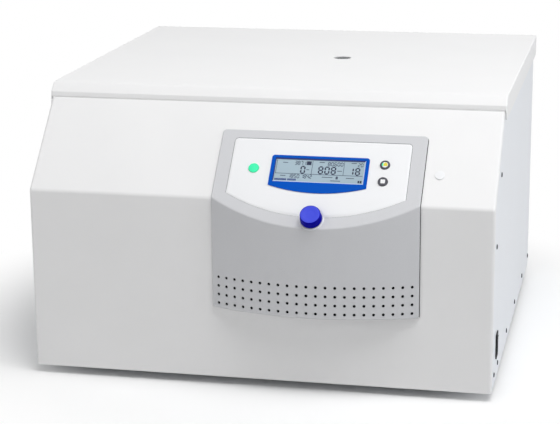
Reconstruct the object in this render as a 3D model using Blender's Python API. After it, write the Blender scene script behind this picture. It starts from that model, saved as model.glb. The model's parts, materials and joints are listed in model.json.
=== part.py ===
"""Refrigerated benchtop centrifuge with a closed lid, as an assembly of separate pieces.

Metres, +Z up, +Y towards the back. The origin is on the bench, below the middle of the
whole machine. A steel housing with a sloped front carries a round rotor chamber with its
cooling coil, foam jacket, drive and swing-out rotor. The lid turns on a rear shaft and is
held up by two gas springs. A bulging control moulding sits over the front's bend.
"""

from math import atan2, cos, pi, radians, sin, sqrt, tan

import bmesh
import bpy
from mathutils import Matrix, Vector

# Fits and mesh fineness
gap = 0.0003
turning_gap = 0.0005
overrun = 0.010
round_sides = 16
fine_sides = 32
chamber_sides = 32
hole_sides = 6
arc_steps = 4

# Housing
body_width = 0.650
body_depth = 0.645
front_height = 0.258
slope_run = 0.112
slope_angle = radians(45)
sheet = 0.002
front_corner_radius = 0.004
front_bend_radius = 0.008
front_return = 0.005
top_seam = 0.0015
deck_drop = 0.004
base_thickness = 0.003
air_window_count = 4
air_window_width = 0.048
air_window_pitch = 0.060

# Feet
foot_height = 0.012
foot_radius = 0.020
foot_taper = 0.003
foot_inset = 0.065

# Lid
lid_height = 0.019
lid_skirt = 0.032
lid_overhang = 0.025
lid_bend_radius = 0.016
skirt_clearance = 0.0005
liner_side_inset = 0.040
liner_front_setback = 0.002
liner_rear_setback = 0.030
liner_corner_radius = 0.020
window_radius = 0.013
window_flange = 0.007
window_flange_thickness = 0.002

# Lid hinge
hinge_setback = 0.010
hinge_drop = 0.004
hinge_shaft_radius = 0.004
hinge_barrel_wall = 0.003
hinge_end_inset = 0.065
hinge_ear_width = 0.012
hinge_barrel_width = 0.030
hinge_barrel_spacing = 0.170
hinge_rail_thickness = 0.0025
hinge_rail_height = 0.027
hinge_leaf_thickness = 0.003
hinge_leaf_reach = 0.012

# Gas springs
spring_inset = 0.023
spring_arm = 0.0925
spring_closed_length = 0.250
spring_radius = 0.007
spring_bore_radius = 0.0045
spring_rod_radius = 0.004
spring_cylinder_length = 0.135
spring_cylinder_start = 0.009
spring_cap = 0.014
spring_rod_play = 0.003
spring_eye_radius = 0.0065
spring_eye_width = 0.008
spring_stud_radius = 0.003
spring_neck = 0.007
stud_block_half = 0.006

# Chamber
chamber_front_clearance = 0.0175
chamber_back_clearance = 0.0109
chamber_side_clearance = 0.0341
cooling_width = 0.132
bowl_wall = 0.002
bowl_floor_z = 0.162
bowl_fillet = 0.022
bowl_hole_radius = 0.022
bowl_flange = 0.012
gasket_width = 0.010
jacket_wall = 0.017
jacket_floor = 0.010
coil_tube_radius = 0.004
coil_turns = 3
coil_pitch = 0.045
coil_start = 0.045

# Drive
motor_radius = 0.062
motor_height = 0.090
motor_flange_radius = 0.095
motor_flange_thickness = 0.006
motor_neck_radius = 0.019
motor_shoulder = 0.012
motor_mount_height = 0.022
motor_mount_radius = 0.014
motor_mount_waist = 0.004
motor_mount_circle = 0.078
shaft_radius = 0.008
shaft_collar_radius = 0.013
shaft_collar_height = 0.008
shaft_seat_depth = 0.030

# Rotor
trunnion_z = 0.285
trunnion_share = 0.448
trunnion_pin_radius = 0.006
hub_radius = 0.030
hub_below = 0.085
hub_above = 0.020
arm_half_width = 0.009
arm_half_height = 0.012
head_inner_share = 0.335
head_outer_share = 0.514
head_corner = 0.010
nut_radius = 0.015
nut_height = 0.015
bucket_share = 0.2075
bucket_wall = 0.003
bucket_swing_clearance = 0.022
bucket_above = 0.022
bucket_fillet = 0.014
lug_half_width = 0.010
lug_half_height = 0.014
lug_length = 0.008
lug_root = 0.0025

# Lid lock
latch_spread = 0.197
latch_setback = 0.035
striker_thickness = 0.004
striker_half_width = 0.008
striker_bar_height = 0.006
striker_drop = 0.033
striker_hole_half = 0.005
striker_hole_low = 0.007
striker_hole_high = 0.022
slot_clearance = 0.003
latch_wall = 0.0035
latch_front = 0.010
latch_back = 0.040
latch_depth = 0.055
latch_pivot_back = 0.022
latch_pivot_height = 0.017
latch_pin_radius = 0.003
hook_half_width = 0.003
hook_width = 0.007
hook_height = 0.031
hook_nose = 0.026
hook_nose_height = 0.007
hook_release_angle = radians(18)

# Cooling
compressor_clearance = 0.0157
compressor_setback = 0.243
compressor_radius = 0.062
compressor_height = 0.150
compressor_top_radius = 0.040
compressor_dome = 0.025
compressor_foot = 0.012
condenser_clearance = 0.0227
condenser_width = 0.170
condenser_height = 0.180
condenser_thickness = 0.040
fin_count = 12
fin_depth = 0.012
shroud_thickness = 0.003
fan_height = 0.098
fan_radius = 0.066
fan_clearance = 0.004
fan_blades = 5
fan_hub_radius = 0.020
fan_width = 0.018
fan_pitch = radians(28)
fan_blade_thickness = 0.002
fan_blade_chord = 0.028
fan_pin_radius = 0.002
fan_boss_radius = 0.022
fan_boss_depth = 0.020
spoke_width = 0.010
pipe_radius = 0.004
pipe_bend = 0.020
pipe_rise = 0.030
vent_slots = 9
vent_width = 0.004
vent_height = 0.120

# Electronics behind the panels
board_width = 0.200
board_height = 0.070
board_thickness = 0.0016
module_width = 0.100
module_depth = 0.150
module_height = 0.090
module_inset = 0.035
module_setback = 0.095
module_flange = 0.012
inlet_inset = 0.085
inlet_z = 0.067
inlet_width = 0.032
inlet_height = 0.026
inlet_depth = 0.024
inlet_wall = 0.003
inlet_flange = 0.008
inlet_flange_thickness = 0.002
inlet_recess = 0.018
blade_half_width = 0.001
blade_height = 0.006
blade_spacing = 0.007

# Mains switch on the right side
switch_setback = 0.057
switch_z = 0.064
switch_width = 0.022
switch_height = 0.035
switch_lip = 0.0025
switch_lip_thickness = 0.0015
switch_depth = 0.016
switch_wall = 0.0015
rocker_angle = radians(12)
rocker_depth = 0.009
rocker_pin_radius = 0.0015
rocker_valley = 0.0035

# Control moulding over the bend
bezel_inset = 0.2435
bezel_half_width = 0.1435
bezel_top = 0.1100
bezel_bottom = 0.1035
bezel_proud = 0.004
bezel_bulge = 0.030
bezel_wall = 0.003
bezel_corner = 0.005
bezel_columns = 18
vent_columns = 22
vent_rows = 4
vent_pitch_x = 0.0131
vent_pitch_z = 0.0124
vent_first_z = 0.1109
vent_radius = 0.0018

# Fascia and display
fascia_half_width = 0.1236
fascia_top = 0.0953
fascia_side_low = 0.0066
fascia_low = -0.0265
fascia_corner = 0.005
fascia_thickness = 0.0012
frame_shift = 0.0008
frame_half_width = 0.0678
frame_top = 0.069
frame_side_low = 0.0208
frame_low = 0.0103
frame_thickness = 0.0008
screen_half_width = 0.0615
screen_low = 0.028
screen_high = 0.063
screen_border = 0.002
screen_depth = 0.0125

# Keys, knob and cover plug
key_travel = 0.0006
key_proud = 0.0014
key_crown = 0.0005
start_key_offset = 0.0905
start_key_s = 0.0466
start_key_radius = 0.00725
side_key_offset = 0.0897
lid_key_s = 0.0597
stop_key_s = 0.0331
side_key_radius = 0.00685
knob_s = -0.029
knob_base_radius = 0.015
knob_face_radius = 0.014
knob_height = 0.012
knob_edge = 0.001
knob_travel = 0.001
knob_recess = 0.002
knob_bore_depth = 0.009
encoder_radius = 0.003
encoder_collar_radius = 0.0055
encoder_collar_height = 0.002
encoder_tail = 0.004
plug_inset = 0.079
plug_s = 0.050
plug_radius = 0.0066
plug_thickness = 0.0012
plug_shank_radius = 0.005
plug_shank_length = 0.012

# Places that follow from the sizes
slope_cos = cos(slope_angle)
slope_sin = sin(slope_angle)
front_turn = pi / 2 - slope_angle
knob_low = bezel_proud + gap + knob_travel
knob_reach = (knob_face_radius - knob_s) * slope_cos + (knob_low + knob_height) * slope_sin
front_y = (knob_reach - body_depth - lid_overhang) / 2
back_y = front_y + body_depth
base_z = foot_height
base_top = base_z + base_thickness
break_z = base_z + front_height
slope_top_y = front_y + slope_run
slope_top_z = break_z + slope_run * tan(slope_angle)
slope_length = slope_run / slope_cos
deck_top = slope_top_z - deck_drop
deck_low = deck_top - sheet
lid_top = slope_top_z + lid_height
lid_inside = lid_top - sheet
lid_back_y = back_y + lid_overhang
half_width = body_width / 2
inner_half = half_width - sheet - gap
latch_y = slope_top_y + latch_setback
tube_clearance = gap / cos(pi / chamber_sides)
jacket_build = bowl_wall + 2 * (coil_tube_radius + tube_clearance) + jacket_wall
chamber_front = latch_y + striker_thickness / 2 + chamber_front_clearance
chamber_back = back_y - sheet - chamber_back_clearance
room_across = 2 * inner_half - cooling_width - chamber_side_clearance
room_along = chamber_back - chamber_front - bowl_wall - bowl_flange + jacket_build
bowl_radius = min(room_across, room_along) / 2 - jacket_build
bowl_outer = bowl_radius + bowl_wall
flange_low = deck_top + gap
flange_top = flange_low + bowl_wall
flange_radius = bowl_outer + bowl_flange
coil_radius = bowl_outer + coil_tube_radius + tube_clearance
jacket_inner = coil_radius + coil_tube_radius + tube_clearance
jacket_radius = jacket_inner + jacket_wall
chamber_x = inner_half - chamber_side_clearance - jacket_radius
chamber_y = chamber_back - jacket_radius
trunnion_radius = bowl_radius * trunnion_share
head_inner = bowl_radius * head_inner_share
head_outer = bowl_radius * head_outer_share
bucket_radius = bowl_radius * bucket_share
bucket_below = bowl_radius - trunnion_radius - bucket_swing_clearance
lug_reach = bucket_radius + lug_length
bowl_low = bowl_floor_z - bowl_wall
jacket_low = bowl_low - gap - jacket_floor
hinge_y = back_y + hinge_setback
hinge_z = slope_top_z - hinge_drop
hinge_length = body_width - 2 * hinge_end_inset
liner_half_width = half_width - liner_side_inset
spring_offset = half_width - spring_inset
spring_z = (deck_top + lid_inside) / 2
spring_pivot_y = hinge_y - spring_arm - spring_closed_length
liner_low = flange_top + gap + bowl_flange / 2
liner_high = lid_inside - gap
motor_low = base_top + 2 * gap + motor_mount_height
motor_top = motor_low + motor_height
hub_low = trunnion_z - hub_below
hub_high = trunnion_z + hub_above
latch_low = deck_low - gap - latch_depth
bezel_x = half_width - bezel_inset
frame_x = bezel_x + frame_shift
start_key_x = bezel_x - start_key_offset
side_key_x = bezel_x + side_key_offset
plug_x = half_width - plug_inset
fascia_low_n = bezel_proud + gap
fascia_high_n = fascia_low_n + fascia_thickness
screen_half_outer = screen_half_width + screen_border
bezel_radius = (bezel_half_width**2 + bezel_bulge**2) / (2 * bezel_bulge)
bezel_axis_y = front_y - bezel_proud - bezel_bulge + bezel_radius
compressor_x = compressor_clearance + compressor_radius - inner_half
compressor_y = front_y + compressor_setback
condenser_x = condenser_clearance + condenser_width / 2 - inner_half
inlet_x = half_width - inlet_inset
condenser_y = back_y - sheet - gap - condenser_thickness
shroud_y = condenser_y - gap - shroud_thickness
fan_z = base_top + fan_height
fan_y = shroud_y - fan_boss_depth - gap - fan_width

# Colour, roughness and metallic value of each finish
finishes = {
    "white_paint": ((0.88, 0.89, 0.90, 1), 0.42, 0.0),
    "side_paint": ((0.80, 0.83, 0.88, 1), 0.45, 0.0),
    "galvanised": ((0.55, 0.56, 0.58, 1), 0.45, 0.9),
    "bright_steel": ((0.72, 0.73, 0.75, 1), 0.25, 1.0),
    "dark_steel": ((0.12, 0.12, 0.13, 1), 0.40, 0.6),
    "black_rubber": ((0.03, 0.03, 0.03, 1), 0.80, 0.0),
    "grey_rubber": ((0.30, 0.31, 0.33, 1), 0.75, 0.0),
    "foam": ((0.85, 0.80, 0.62, 1), 0.90, 0.0),
    "copper": ((0.85, 0.45, 0.28, 1), 0.35, 1.0),
    "aluminium": ((0.78, 0.79, 0.80, 1), 0.35, 0.9),
    "glass": ((0.60, 0.66, 0.68, 1), 0.05, 0.0),
    "bezel_grey": ((0.66, 0.67, 0.70, 1), 0.45, 0.0),
    "fascia_white": ((0.90, 0.91, 0.93, 1), 0.35, 0.0),
    "frame_blue": ((0.01, 0.10, 0.50, 1), 0.30, 0.0),
    "screen_grey": ((0.42, 0.52, 0.52, 1), 0.15, 0.0),
    "knob_blue": ((0.05, 0.07, 0.62, 1), 0.35, 0.0),
    "key_green": ((0.06, 0.80, 0.36, 1), 0.35, 0.0),
    "key_dark": ((0.10, 0.10, 0.12, 1), 0.40, 0.0),
    "black_plastic": ((0.03, 0.03, 0.03, 1), 0.40, 0.0),
    "board_green": ((0.03, 0.22, 0.10, 1), 0.55, 0.0),
}


def clear_scene():
    for old in list(bpy.data.objects):
        bpy.data.objects.remove(old)


def finish_material(name, finish):
    colour, roughness, metallic = finishes[finish]
    material = bpy.data.materials.new(name)
    material.use_nodes = True
    shader = material.node_tree.nodes["Principled BSDF"]
    shader.inputs["Base Color"].default_value = colour
    shader.inputs["Roughness"].default_value = roughness
    shader.inputs["Metallic"].default_value = metallic
    material.diffuse_color = colour
    return material


def add_empty(name, location, rotation=(0, 0, 0), parent=None):
    empty = bpy.data.objects.new(name, None)
    empty.location = location
    empty.rotation_euler = rotation
    empty.parent = parent
    bpy.context.scene.collection.objects.link(empty)
    return empty


def add_piece(name, shape, finish, location=(0, 0, 0), rotation=(0, 0, 0), parent=None, smooth=False):
    """Puts a bmesh, or a mesh that another piece already uses, into the scene as a named piece."""
    mesh = shape
    if isinstance(shape, bmesh.types.BMesh):
        mesh = bpy.data.meshes.new(name)
        shape.to_mesh(mesh)
        shape.free()
        mesh.materials.append(finish_material(name, finish))
    if smooth:
        mesh.shade_smooth()
        mesh.set_sharp_from_angle(angle=radians(35))
    piece = bpy.data.objects.new(name, mesh)
    piece.location = location
    piece.rotation_euler = rotation
    piece.parent = parent
    bpy.context.scene.collection.objects.link(piece)
    return piece


def arc(centre_a, centre_b, radius, start, end, steps=arc_steps):
    """Points of a circular arc in a plane, both ends included."""
    angles = [start + (end - start) * step / steps for step in range(steps + 1)]
    return [(centre_a + radius * cos(angle), centre_b + radius * sin(angle)) for angle in angles]


def rectangle(low_a, high_a, low_b, high_b):
    return [(low_a, low_b), (high_a, low_b), (high_a, high_b), (low_a, high_b)]


def rounded_rectangle(low_a, high_a, low_b, high_b, radius):
    corners = [
        (low_a + radius, low_b + radius, pi),
        (high_a - radius, low_b + radius, 1.5 * pi),
        (high_a - radius, high_b - radius, 0),
        (low_a + radius, high_b - radius, pi / 2),
    ]
    points = []
    for a, b, start in corners:
        points += arc(a, b, radius, start, start + pi / 2)
    return points


def circle(centre_a, centre_b, radius, sides=round_sides):
    return arc(centre_a, centre_b, radius, 0, 2 * pi, sides)[:-1]


def prism(outline, low, high, axis="Z"):
    """A flat outline carried along an axis. It is (y, z) for X, (x, z) for Y and (x, y) for Z."""
    places = {
        "X": lambda a, b, height: (height, a, b),
        "Y": lambda a, b, height: (a, height, b),
        "Z": lambda a, b, height: (a, b, height),
    }
    place = places[axis]
    bm = bmesh.new()
    bottom = bm.faces.new([bm.verts.new(place(a, b, low)) for a, b in outline])
    grown = bmesh.ops.extrude_face_region(bm, geom=[bottom])["geom"]
    moved = [item for item in grown if isinstance(item, bmesh.types.BMVert)]
    bmesh.ops.translate(bm, vec=Vector(place(0, 0, high - low)), verts=moved)
    bmesh.ops.recalc_face_normals(bm, faces=bm.faces)
    return bm


def block(low, high):
    """A box from its low corner to its high corner."""
    return prism(rectangle(low[0], high[0], low[1], high[1]), low[2], high[2])


def turned(profile, axis="Z", sides=round_sides, closed=False):
    """A profile of (radius, height) points spun about an axis. An open one ends on the axis."""
    bm = bmesh.new()
    verts = [bm.verts.new((radius, 0, height)) for radius, height in profile]
    ends = verts[1:] + verts[:1] if closed else verts[1:]
    edges = [bm.edges.new(pair) for pair in zip(verts, ends)]
    bmesh.ops.spin(
        bm, geom=verts + edges, axis=(0, 0, 1), cent=(0, 0, 0), steps=sides, angle=2 * pi, use_merge=True
    )
    bmesh.ops.remove_doubles(bm, verts=bm.verts, dist=gap / 100)
    turns = {"X": Matrix.Rotation(pi / 2, 4, "Y"), "Y": Matrix.Rotation(-pi / 2, 4, "X"), "Z": Matrix()}
    bmesh.ops.transform(bm, matrix=turns[axis], verts=bm.verts)
    bmesh.ops.recalc_face_normals(bm, faces=bm.faces)
    return bm


def rod(radius, low, high, axis="Z", sides=round_sides):
    return turned([(0, low), (radius, low), (radius, high), (0, high)], axis, sides)


def bore(radius, low, high, axis="Z", sides=round_sides):
    """A round cutter whose flats, not its corners, lie at the radius."""
    return rod(radius / cos(pi / sides), low, high, axis, sides)


def moved(bm, offset, turn=None):
    """The same bmesh, turned by a matrix if one is given and then shifted."""
    if turn is not None:
        bmesh.ops.transform(bm, matrix=turn, verts=bm.verts)
    bmesh.ops.translate(bm, vec=Vector(offset), verts=bm.verts)
    return bm


def gathered(shapes):
    """Separate bodies in one bmesh, to cut or join with in one step."""
    scratch = bpy.data.meshes.new("gathered")
    whole = bmesh.new()
    for shape in shapes:
        shape.to_mesh(scratch)
        shape.free()
        whole.from_mesh(scratch)
    bpy.data.meshes.remove(scratch)
    return whole


def combined(first, second, operation):
    """Two closed meshes drawn in one frame, joined or cut by an exact Boolean."""
    scrap = []
    for shape in (first, second):
        mesh = bpy.data.meshes.new("scrap")
        shape.to_mesh(mesh)
        shape.free()
        scrap.append(bpy.data.objects.new("scrap", mesh))
        bpy.context.scene.collection.objects.link(scrap[-1])
    kept, tool = scrap
    modifier = kept.modifiers.new("combine", "BOOLEAN")
    modifier.operation = operation
    modifier.solver = "EXACT"
    modifier.object = tool
    graph = bpy.context.evaluated_depsgraph_get()
    result = bmesh.new()
    result.from_mesh(kept.evaluated_get(graph).to_mesh())
    for piece in scrap:
        bpy.data.objects.remove(piece)
    bmesh.ops.remove_doubles(result, verts=result.verts, dist=gap / 100)
    return result


def joined(first, *others):
    for other in others:
        first = combined(first, other, "UNION")
    return first


def cut(first, *tools):
    for tool in tools:
        first = combined(first, tool, "DIFFERENCE")
    return first


def front_line(depth, end):
    """The front's side view as (y, z) points, a depth inside the skin: face, bend and slope.

    The bend is an arc about one centre for every depth, and the slope runs to a distance
    end above the line where face and slope would meet.
    """
    radius = front_bend_radius
    centre_y = front_y + radius
    centre_z = break_z - radius * tan(front_turn / 2)
    bend = arc(centre_y, centre_z, radius - depth, pi, pi - front_turn)
    top_y = front_y + end * slope_cos + depth * slope_sin
    top_z = break_z + end * slope_sin - depth * slope_cos
    return [(front_y + depth, base_z)] + bend + [(top_y, top_z)]


def front_panel_section():
    """The front sheet's cross-section as (x, depth) points: web, rounded corners and returns."""
    half = half_width
    radius = front_corner_radius
    right = arc(half - radius, radius, radius, -pi / 2, 0)
    left = arc(radius - half, radius, radius, pi, 1.5 * pi)
    outside = left + right + [(half, front_return)]
    inside = [(half - sheet, front_return), (half - sheet, sheet), (sheet - half, sheet)]
    return outside + inside + [(sheet - half, front_return), (-half, front_return)]


def front_panel():
    section = front_panel_section()
    end = slope_length - top_seam / slope_sin
    bm = bmesh.new()
    columns = []
    for x, depth in section:
        columns.append([bm.verts.new((x, y, z)) for y, z in front_line(depth, end)])
    for column, following in zip(columns, columns[1:] + columns[:1]):
        for row in range(len(column) - 1):
            corners = (column[row], following[row], following[row + 1], column[row + 1])
            bm.faces.new(corners)
    bm.faces.new([column[0] for column in columns])
    bm.faces.new([column[-1] for column in columns])
    bmesh.ops.recalc_face_normals(bm, faces=bm.faces)
    tilt = Matrix.Rotation(slope_angle, 4, "X")
    corner = (0, front_y, break_z)
    screen_x = screen_half_outer + turning_gap
    window = block(
        (frame_x - screen_x, screen_low - screen_border - turning_gap, -overrun),
        (frame_x + screen_x, screen_high + screen_border + turning_gap, overrun),
    )
    plug_hole = moved(bore(plug_shank_radius + gap, -overrun, overrun), (plug_x, plug_s, 0))
    air_low = base_z + vent_first_z - vent_pitch_z / 2
    air_high = air_low + vent_rows * vent_pitch_z
    air_windows = []
    for number in range(air_window_count):
        centre = bezel_x + (number - (air_window_count - 1) / 2) * air_window_pitch
        low = (centre - air_window_width / 2, front_y - overrun, air_low)
        high = (centre + air_window_width / 2, front_y + overrun, air_high)
        air_windows.append(block(low, high))
    return cut(bm, moved(window, corner, tilt), moved(plug_hole, corner, tilt), gathered(air_windows))


def side_panel(side):
    """A flat side sheet behind the front panel's returns, with vents or a hole for the switch."""
    inset = front_return + gap
    knee = break_z - inset * tan(front_turn / 2)
    top_front = front_y + inset + (deck_top - knee) / tan(slope_angle)
    outline = [
        (front_y + inset, base_z),
        (back_y, base_z),
        (back_y, deck_top),
        (top_front, deck_top),
        (front_y + inset, knee),
    ]
    outer = side * half_width
    panel = prism(outline, min(outer, outer - side * sheet), max(outer, outer - side * sheet), "X")
    if side < 0:
        slots = []
        for slot in range(vent_slots):
            centre = compressor_y + (slot - (vent_slots - 1) / 2) * 3 * vent_width
            low = (outer - overrun, centre - vent_width / 2, fan_z - vent_height / 2)
            high = (outer + overrun, centre + vent_width / 2, fan_z + vent_height / 2)
            slots.append(block(low, high))
        return cut(panel, gathered(slots))
    half_y = switch_width / 2 - switch_lip + gap
    half_z = switch_height / 2 - switch_lip + gap
    centre = front_y + switch_setback
    hole = block(
        (outer - overrun, centre - half_y, switch_z - half_z),
        (outer + overrun, centre + half_y, switch_z + half_z),
    )
    return cut(panel, hole)


def rear_panel():
    low, high = base_top + gap, deck_low - gap
    panel = block((-inner_half, back_y - sheet, low), (inner_half, back_y, high))
    slots = []
    for slot in range(vent_slots):
        centre = condenser_x + (slot - (vent_slots - 1) / 2) * 4 * vent_width
        corner = (centre - vent_width / 2, back_y - overrun, fan_z - vent_height / 2)
        far = (centre + vent_width / 2, back_y + overrun, fan_z + vent_height / 2)
        slots.append(block(corner, far))
    half_x, half_z = inlet_width / 2 + gap, inlet_height / 2 + gap
    slots.append(
        block(
            (inlet_x - half_x, back_y - overrun, inlet_z - half_z),
            (inlet_x + half_x, back_y + overrun, inlet_z + half_z),
        )
    )
    return cut(panel, gathered(slots))


def latch_places():
    return {"left": chamber_x - latch_spread, "right": chamber_x + latch_spread}


def top_deck():
    """The plate under the lid, with the chamber's hole, the latch slots and two gas spring brackets."""
    knee = break_z - sheet * tan(front_turn / 2)
    front = front_y + sheet + (deck_top - knee) / tan(slope_angle) + gap
    plate = block((-inner_half, front, deck_low), (inner_half, back_y, deck_top))
    rim = circle(chamber_x, chamber_y, bowl_outer + turning_gap, chamber_sides)
    hole = prism(rim, deck_low - overrun, lid_top)
    slots = []
    for x in latch_places().values():
        half_x = striker_half_width + slot_clearance
        half_y = striker_thickness / 2 + slot_clearance
        slots.append(
            block((x - half_x, latch_y - half_y, deck_low - overrun), (x + half_x, latch_y + half_y, lid_top))
        )
    plate = cut(plate, hole, gathered(slots))
    for side in (-1, 1):
        inner = liner_half_width + stud_block_half / 2
        outer = spring_offset - spring_eye_width / 2 - gap
        low_x, high_x = min(side * inner, side * outer), max(side * inner, side * outer)
        bracket = block(
            (low_x, spring_pivot_y - stud_block_half, (deck_low + deck_top) / 2),
            (high_x, spring_pivot_y + stud_block_half, spring_z + stud_block_half),
        )
        stud_end = side * (spring_offset + spring_eye_width / 2)
        stud_start = side * (outer + inner) / 2
        stud = rod(spring_stud_radius, min(stud_start, stud_end), max(stud_start, stud_end), "X")
        plate = joined(plate, bracket, moved(stud, (0, spring_pivot_y, spring_z)))
    return plate


def lid_cover():
    """A folded sheet cover: flat top, rounded front bend with a lip, side skirts and a rear edge."""
    half = half_width + skirt_clearance + sheet
    skirt_z = lid_top - lid_skirt
    radius = lid_bend_radius
    bend = arc(slope_top_y + radius, lid_top - radius, radius, pi, pi / 2)
    outline = [(slope_top_y, skirt_z)] + bend + [(lid_back_y, lid_top), (lid_back_y, skirt_z)]
    inner_bend = arc(slope_top_y + radius, lid_top - radius, radius - sheet, pi, pi / 2)
    lip_low = slope_top_z
    hollow = [(slope_top_y - overrun, skirt_z - overrun), (slope_top_y - overrun, lip_low)]
    hollow += [(slope_top_y + sheet, lip_low)] + inner_bend
    hollow += [(lid_back_y - sheet, lid_inside), (lid_back_y - sheet, skirt_z - overrun)]
    shell = prism(outline, -half, half, "X")
    inside = prism(hollow, sheet - half, half - sheet, "X")
    glass_hole = moved(bore(window_radius + gap, liner_low, lid_top + overrun), (chamber_x, chamber_y, 0))
    return cut(shell, inside, glass_hole)


def lid_liner():
    """The stiff inner lid that closes the chamber, with a stud at each side for the gas springs."""
    front = slope_top_y + lid_bend_radius + liner_front_setback
    rear = hinge_y - liner_rear_setback
    outline = rounded_rectangle(-liner_half_width, liner_half_width, front, rear, liner_corner_radius)
    slab = prism(outline, liner_low, liner_high)
    hole = moved(bore(window_radius + gap, liner_low - overrun, lid_top), (chamber_x, chamber_y, 0))
    slab = cut(slab, hole)
    reach = spring_offset - spring_eye_width / 2 - gap
    for side in (-1, 1):
        start, end = side * (liner_half_width - spring_stud_radius), side * reach
        stud = rod(spring_stud_radius, min(start, end), max(start, end), "X")
        slab = joined(slab, moved(stud, (0, hinge_y - spring_arm, spring_z)))
    return slab


def lid_window():
    flange_high = liner_low - gap
    flange_low_z = flange_high - window_flange_thickness
    flange = window_radius + window_flange
    profile = [(0, flange_low_z), (flange, flange_low_z), (flange, flange_high)]
    profile += [(window_radius, flange_high), (window_radius, lid_top), (0, lid_top)]
    return turned(profile, sides=fine_sides)


def striker_bar():
    """A bar under the lid with two looped strikers that drop through the deck's slots."""
    top = liner_low - gap
    bar_low = top - striker_bar_height
    tip = top - striker_drop
    left, right = latch_places()["left"], latch_places()["right"]
    half = striker_half_width
    outline = [(left - half, top), (left - half, tip), (left + half, tip), (left + half, bar_low)]
    outline += [(right - half, bar_low), (right - half, tip), (right + half, tip), (right + half, top)]
    bar = prism(outline, latch_y - striker_thickness / 2, latch_y + striker_thickness / 2, "Y")
    holes = []
    for x in (left, right):
        low = (x - striker_hole_half, latch_y - overrun, tip + striker_hole_low)
        high = (x + striker_hole_half, latch_y + overrun, tip + striker_hole_high)
        holes.append(block(low, high))
    return cut(bar, gathered(holes))


def hinge_rail():
    """A plate behind the rear panel whose four ears hold the hinge shaft."""
    half = hinge_length / 2
    low, high = deck_low - gap - hinge_rail_height, deck_low - gap
    front = back_y + gap
    rail = block((-half, front, low), (half, front + hinge_rail_thickness, high))
    ring = hinge_shaft_radius + gap + hinge_barrel_wall
    ears = []
    end, middle = half - hinge_ear_width, hinge_barrel_spacing / 2
    for x in (-end, -middle, middle, end):
        root = front + hinge_rail_thickness / 2
        outline = [(root, high), (root, high - 2 * ring)]
        outline += arc(hinge_y, hinge_z, ring, -pi / 2, pi / 2, round_sides // 2)
        ears.append(prism(outline, x - hinge_ear_width / 2, x + hinge_ear_width / 2, "X"))
    hole = moved(bore(hinge_shaft_radius + gap, -half - overrun, half + overrun, "X"), (0, hinge_y, hinge_z))
    return cut(joined(rail, gathered(ears)), hole)


def hinge_leaf():
    """A plate under the lid cover whose three barrels turn on the hinge shaft."""
    half = hinge_length / 2
    top = lid_inside - gap
    low = top - hinge_leaf_thickness
    leaf = block((-half, hinge_y - hinge_leaf_reach, low), (half, hinge_y + hinge_leaf_reach, top))
    ring = hinge_shaft_radius + turning_gap + hinge_barrel_wall
    barrels = []
    for x in (-hinge_barrel_spacing, 0, hinge_barrel_spacing):
        outline = [(hinge_y + ring, (low + top) / 2), (hinge_y - ring, (low + top) / 2)]
        outline += arc(hinge_y, hinge_z, ring, pi, 2 * pi, round_sides // 2)
        barrels.append(prism(outline, x - hinge_barrel_width / 2, x + hinge_barrel_width / 2, "X"))
    hole = bore(hinge_shaft_radius + turning_gap, -half - overrun, half + overrun, "X")
    return cut(joined(leaf, gathered(barrels)), moved(hole, (0, hinge_y, hinge_z)))


def gas_spring_cylinder():
    """Drawn from its pivot along +Y: an eye on the deck's stud and a tube that is open for the rod."""
    end = spring_cylinder_start + spring_cylinder_length
    bore_start = spring_cylinder_start + spring_cap
    profile = [(0, spring_cylinder_start), (spring_radius, spring_cylinder_start), (spring_radius, end)]
    profile += [(spring_bore_radius, end), (spring_bore_radius, bore_start), (0, bore_start)]
    half = spring_eye_width / 2
    eye = rod(spring_eye_radius, -half, half, "X")
    neck_end = spring_cylinder_start + spring_cap / 2
    neck = block((-half / 2, 0, -spring_neck / 2), (half / 2, neck_end, spring_neck / 2))
    hole = bore(spring_stud_radius + turning_gap, -overrun, overrun, "X")
    return cut(joined(turned(profile, "Y"), eye, neck), hole)


def gas_spring_rod():
    """Drawn from the same pivot: a rod out of the cylinder with a flat eye beside the lid's stud."""
    start = spring_cylinder_start + spring_cap + spring_rod_play
    shaft = rod(spring_rod_radius, start, spring_closed_length - spring_eye_radius / 2, "Y")
    half = spring_eye_width / 2
    eye = moved(rod(spring_eye_radius, -half, half, "X"), (0, spring_closed_length, 0))
    return joined(shaft, eye)


def rotor_chamber():
    """A steel bowl with a rolled floor corner and a flange that lies on the deck."""
    corner, rise = bowl_radius - bowl_fillet, bowl_floor_z + bowl_fillet
    inner = arc(corner, rise, bowl_fillet, -pi / 2, 0, arc_steps // 2)
    outer = arc(corner, rise, bowl_fillet + bowl_wall, 0, -pi / 2, arc_steps // 2)
    profile = [(bowl_hole_radius, bowl_floor_z)] + inner
    profile += [(bowl_radius, flange_top), (flange_radius, flange_top), (flange_radius, flange_low)]
    profile += [(bowl_outer, flange_low)] + outer + [(bowl_hole_radius, bowl_low)]
    return turned(profile, sides=chamber_sides, closed=True)


def chamber_gasket():
    inner = flange_radius - gasket_width
    low, high = flange_top + gap, liner_low - gap
    lip = (high - low) / 3
    profile = [(inner, low), (flange_radius, low), (flange_radius, high - lip)]
    profile += [(flange_radius - lip, high), (inner + lip, high), (inner, high - lip)]
    return turned(profile, sides=chamber_sides, closed=True)


def insulation_jacket():
    top = deck_low - gap
    hole = motor_neck_radius + motor_shoulder / 2
    floor = bowl_low - gap
    profile = [(hole, jacket_low), (jacket_radius, jacket_low), (jacket_radius, top)]
    profile += [(jacket_inner, top), (jacket_inner, floor), (hole, floor)]
    return turned(profile, sides=chamber_sides, closed=True)


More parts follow.
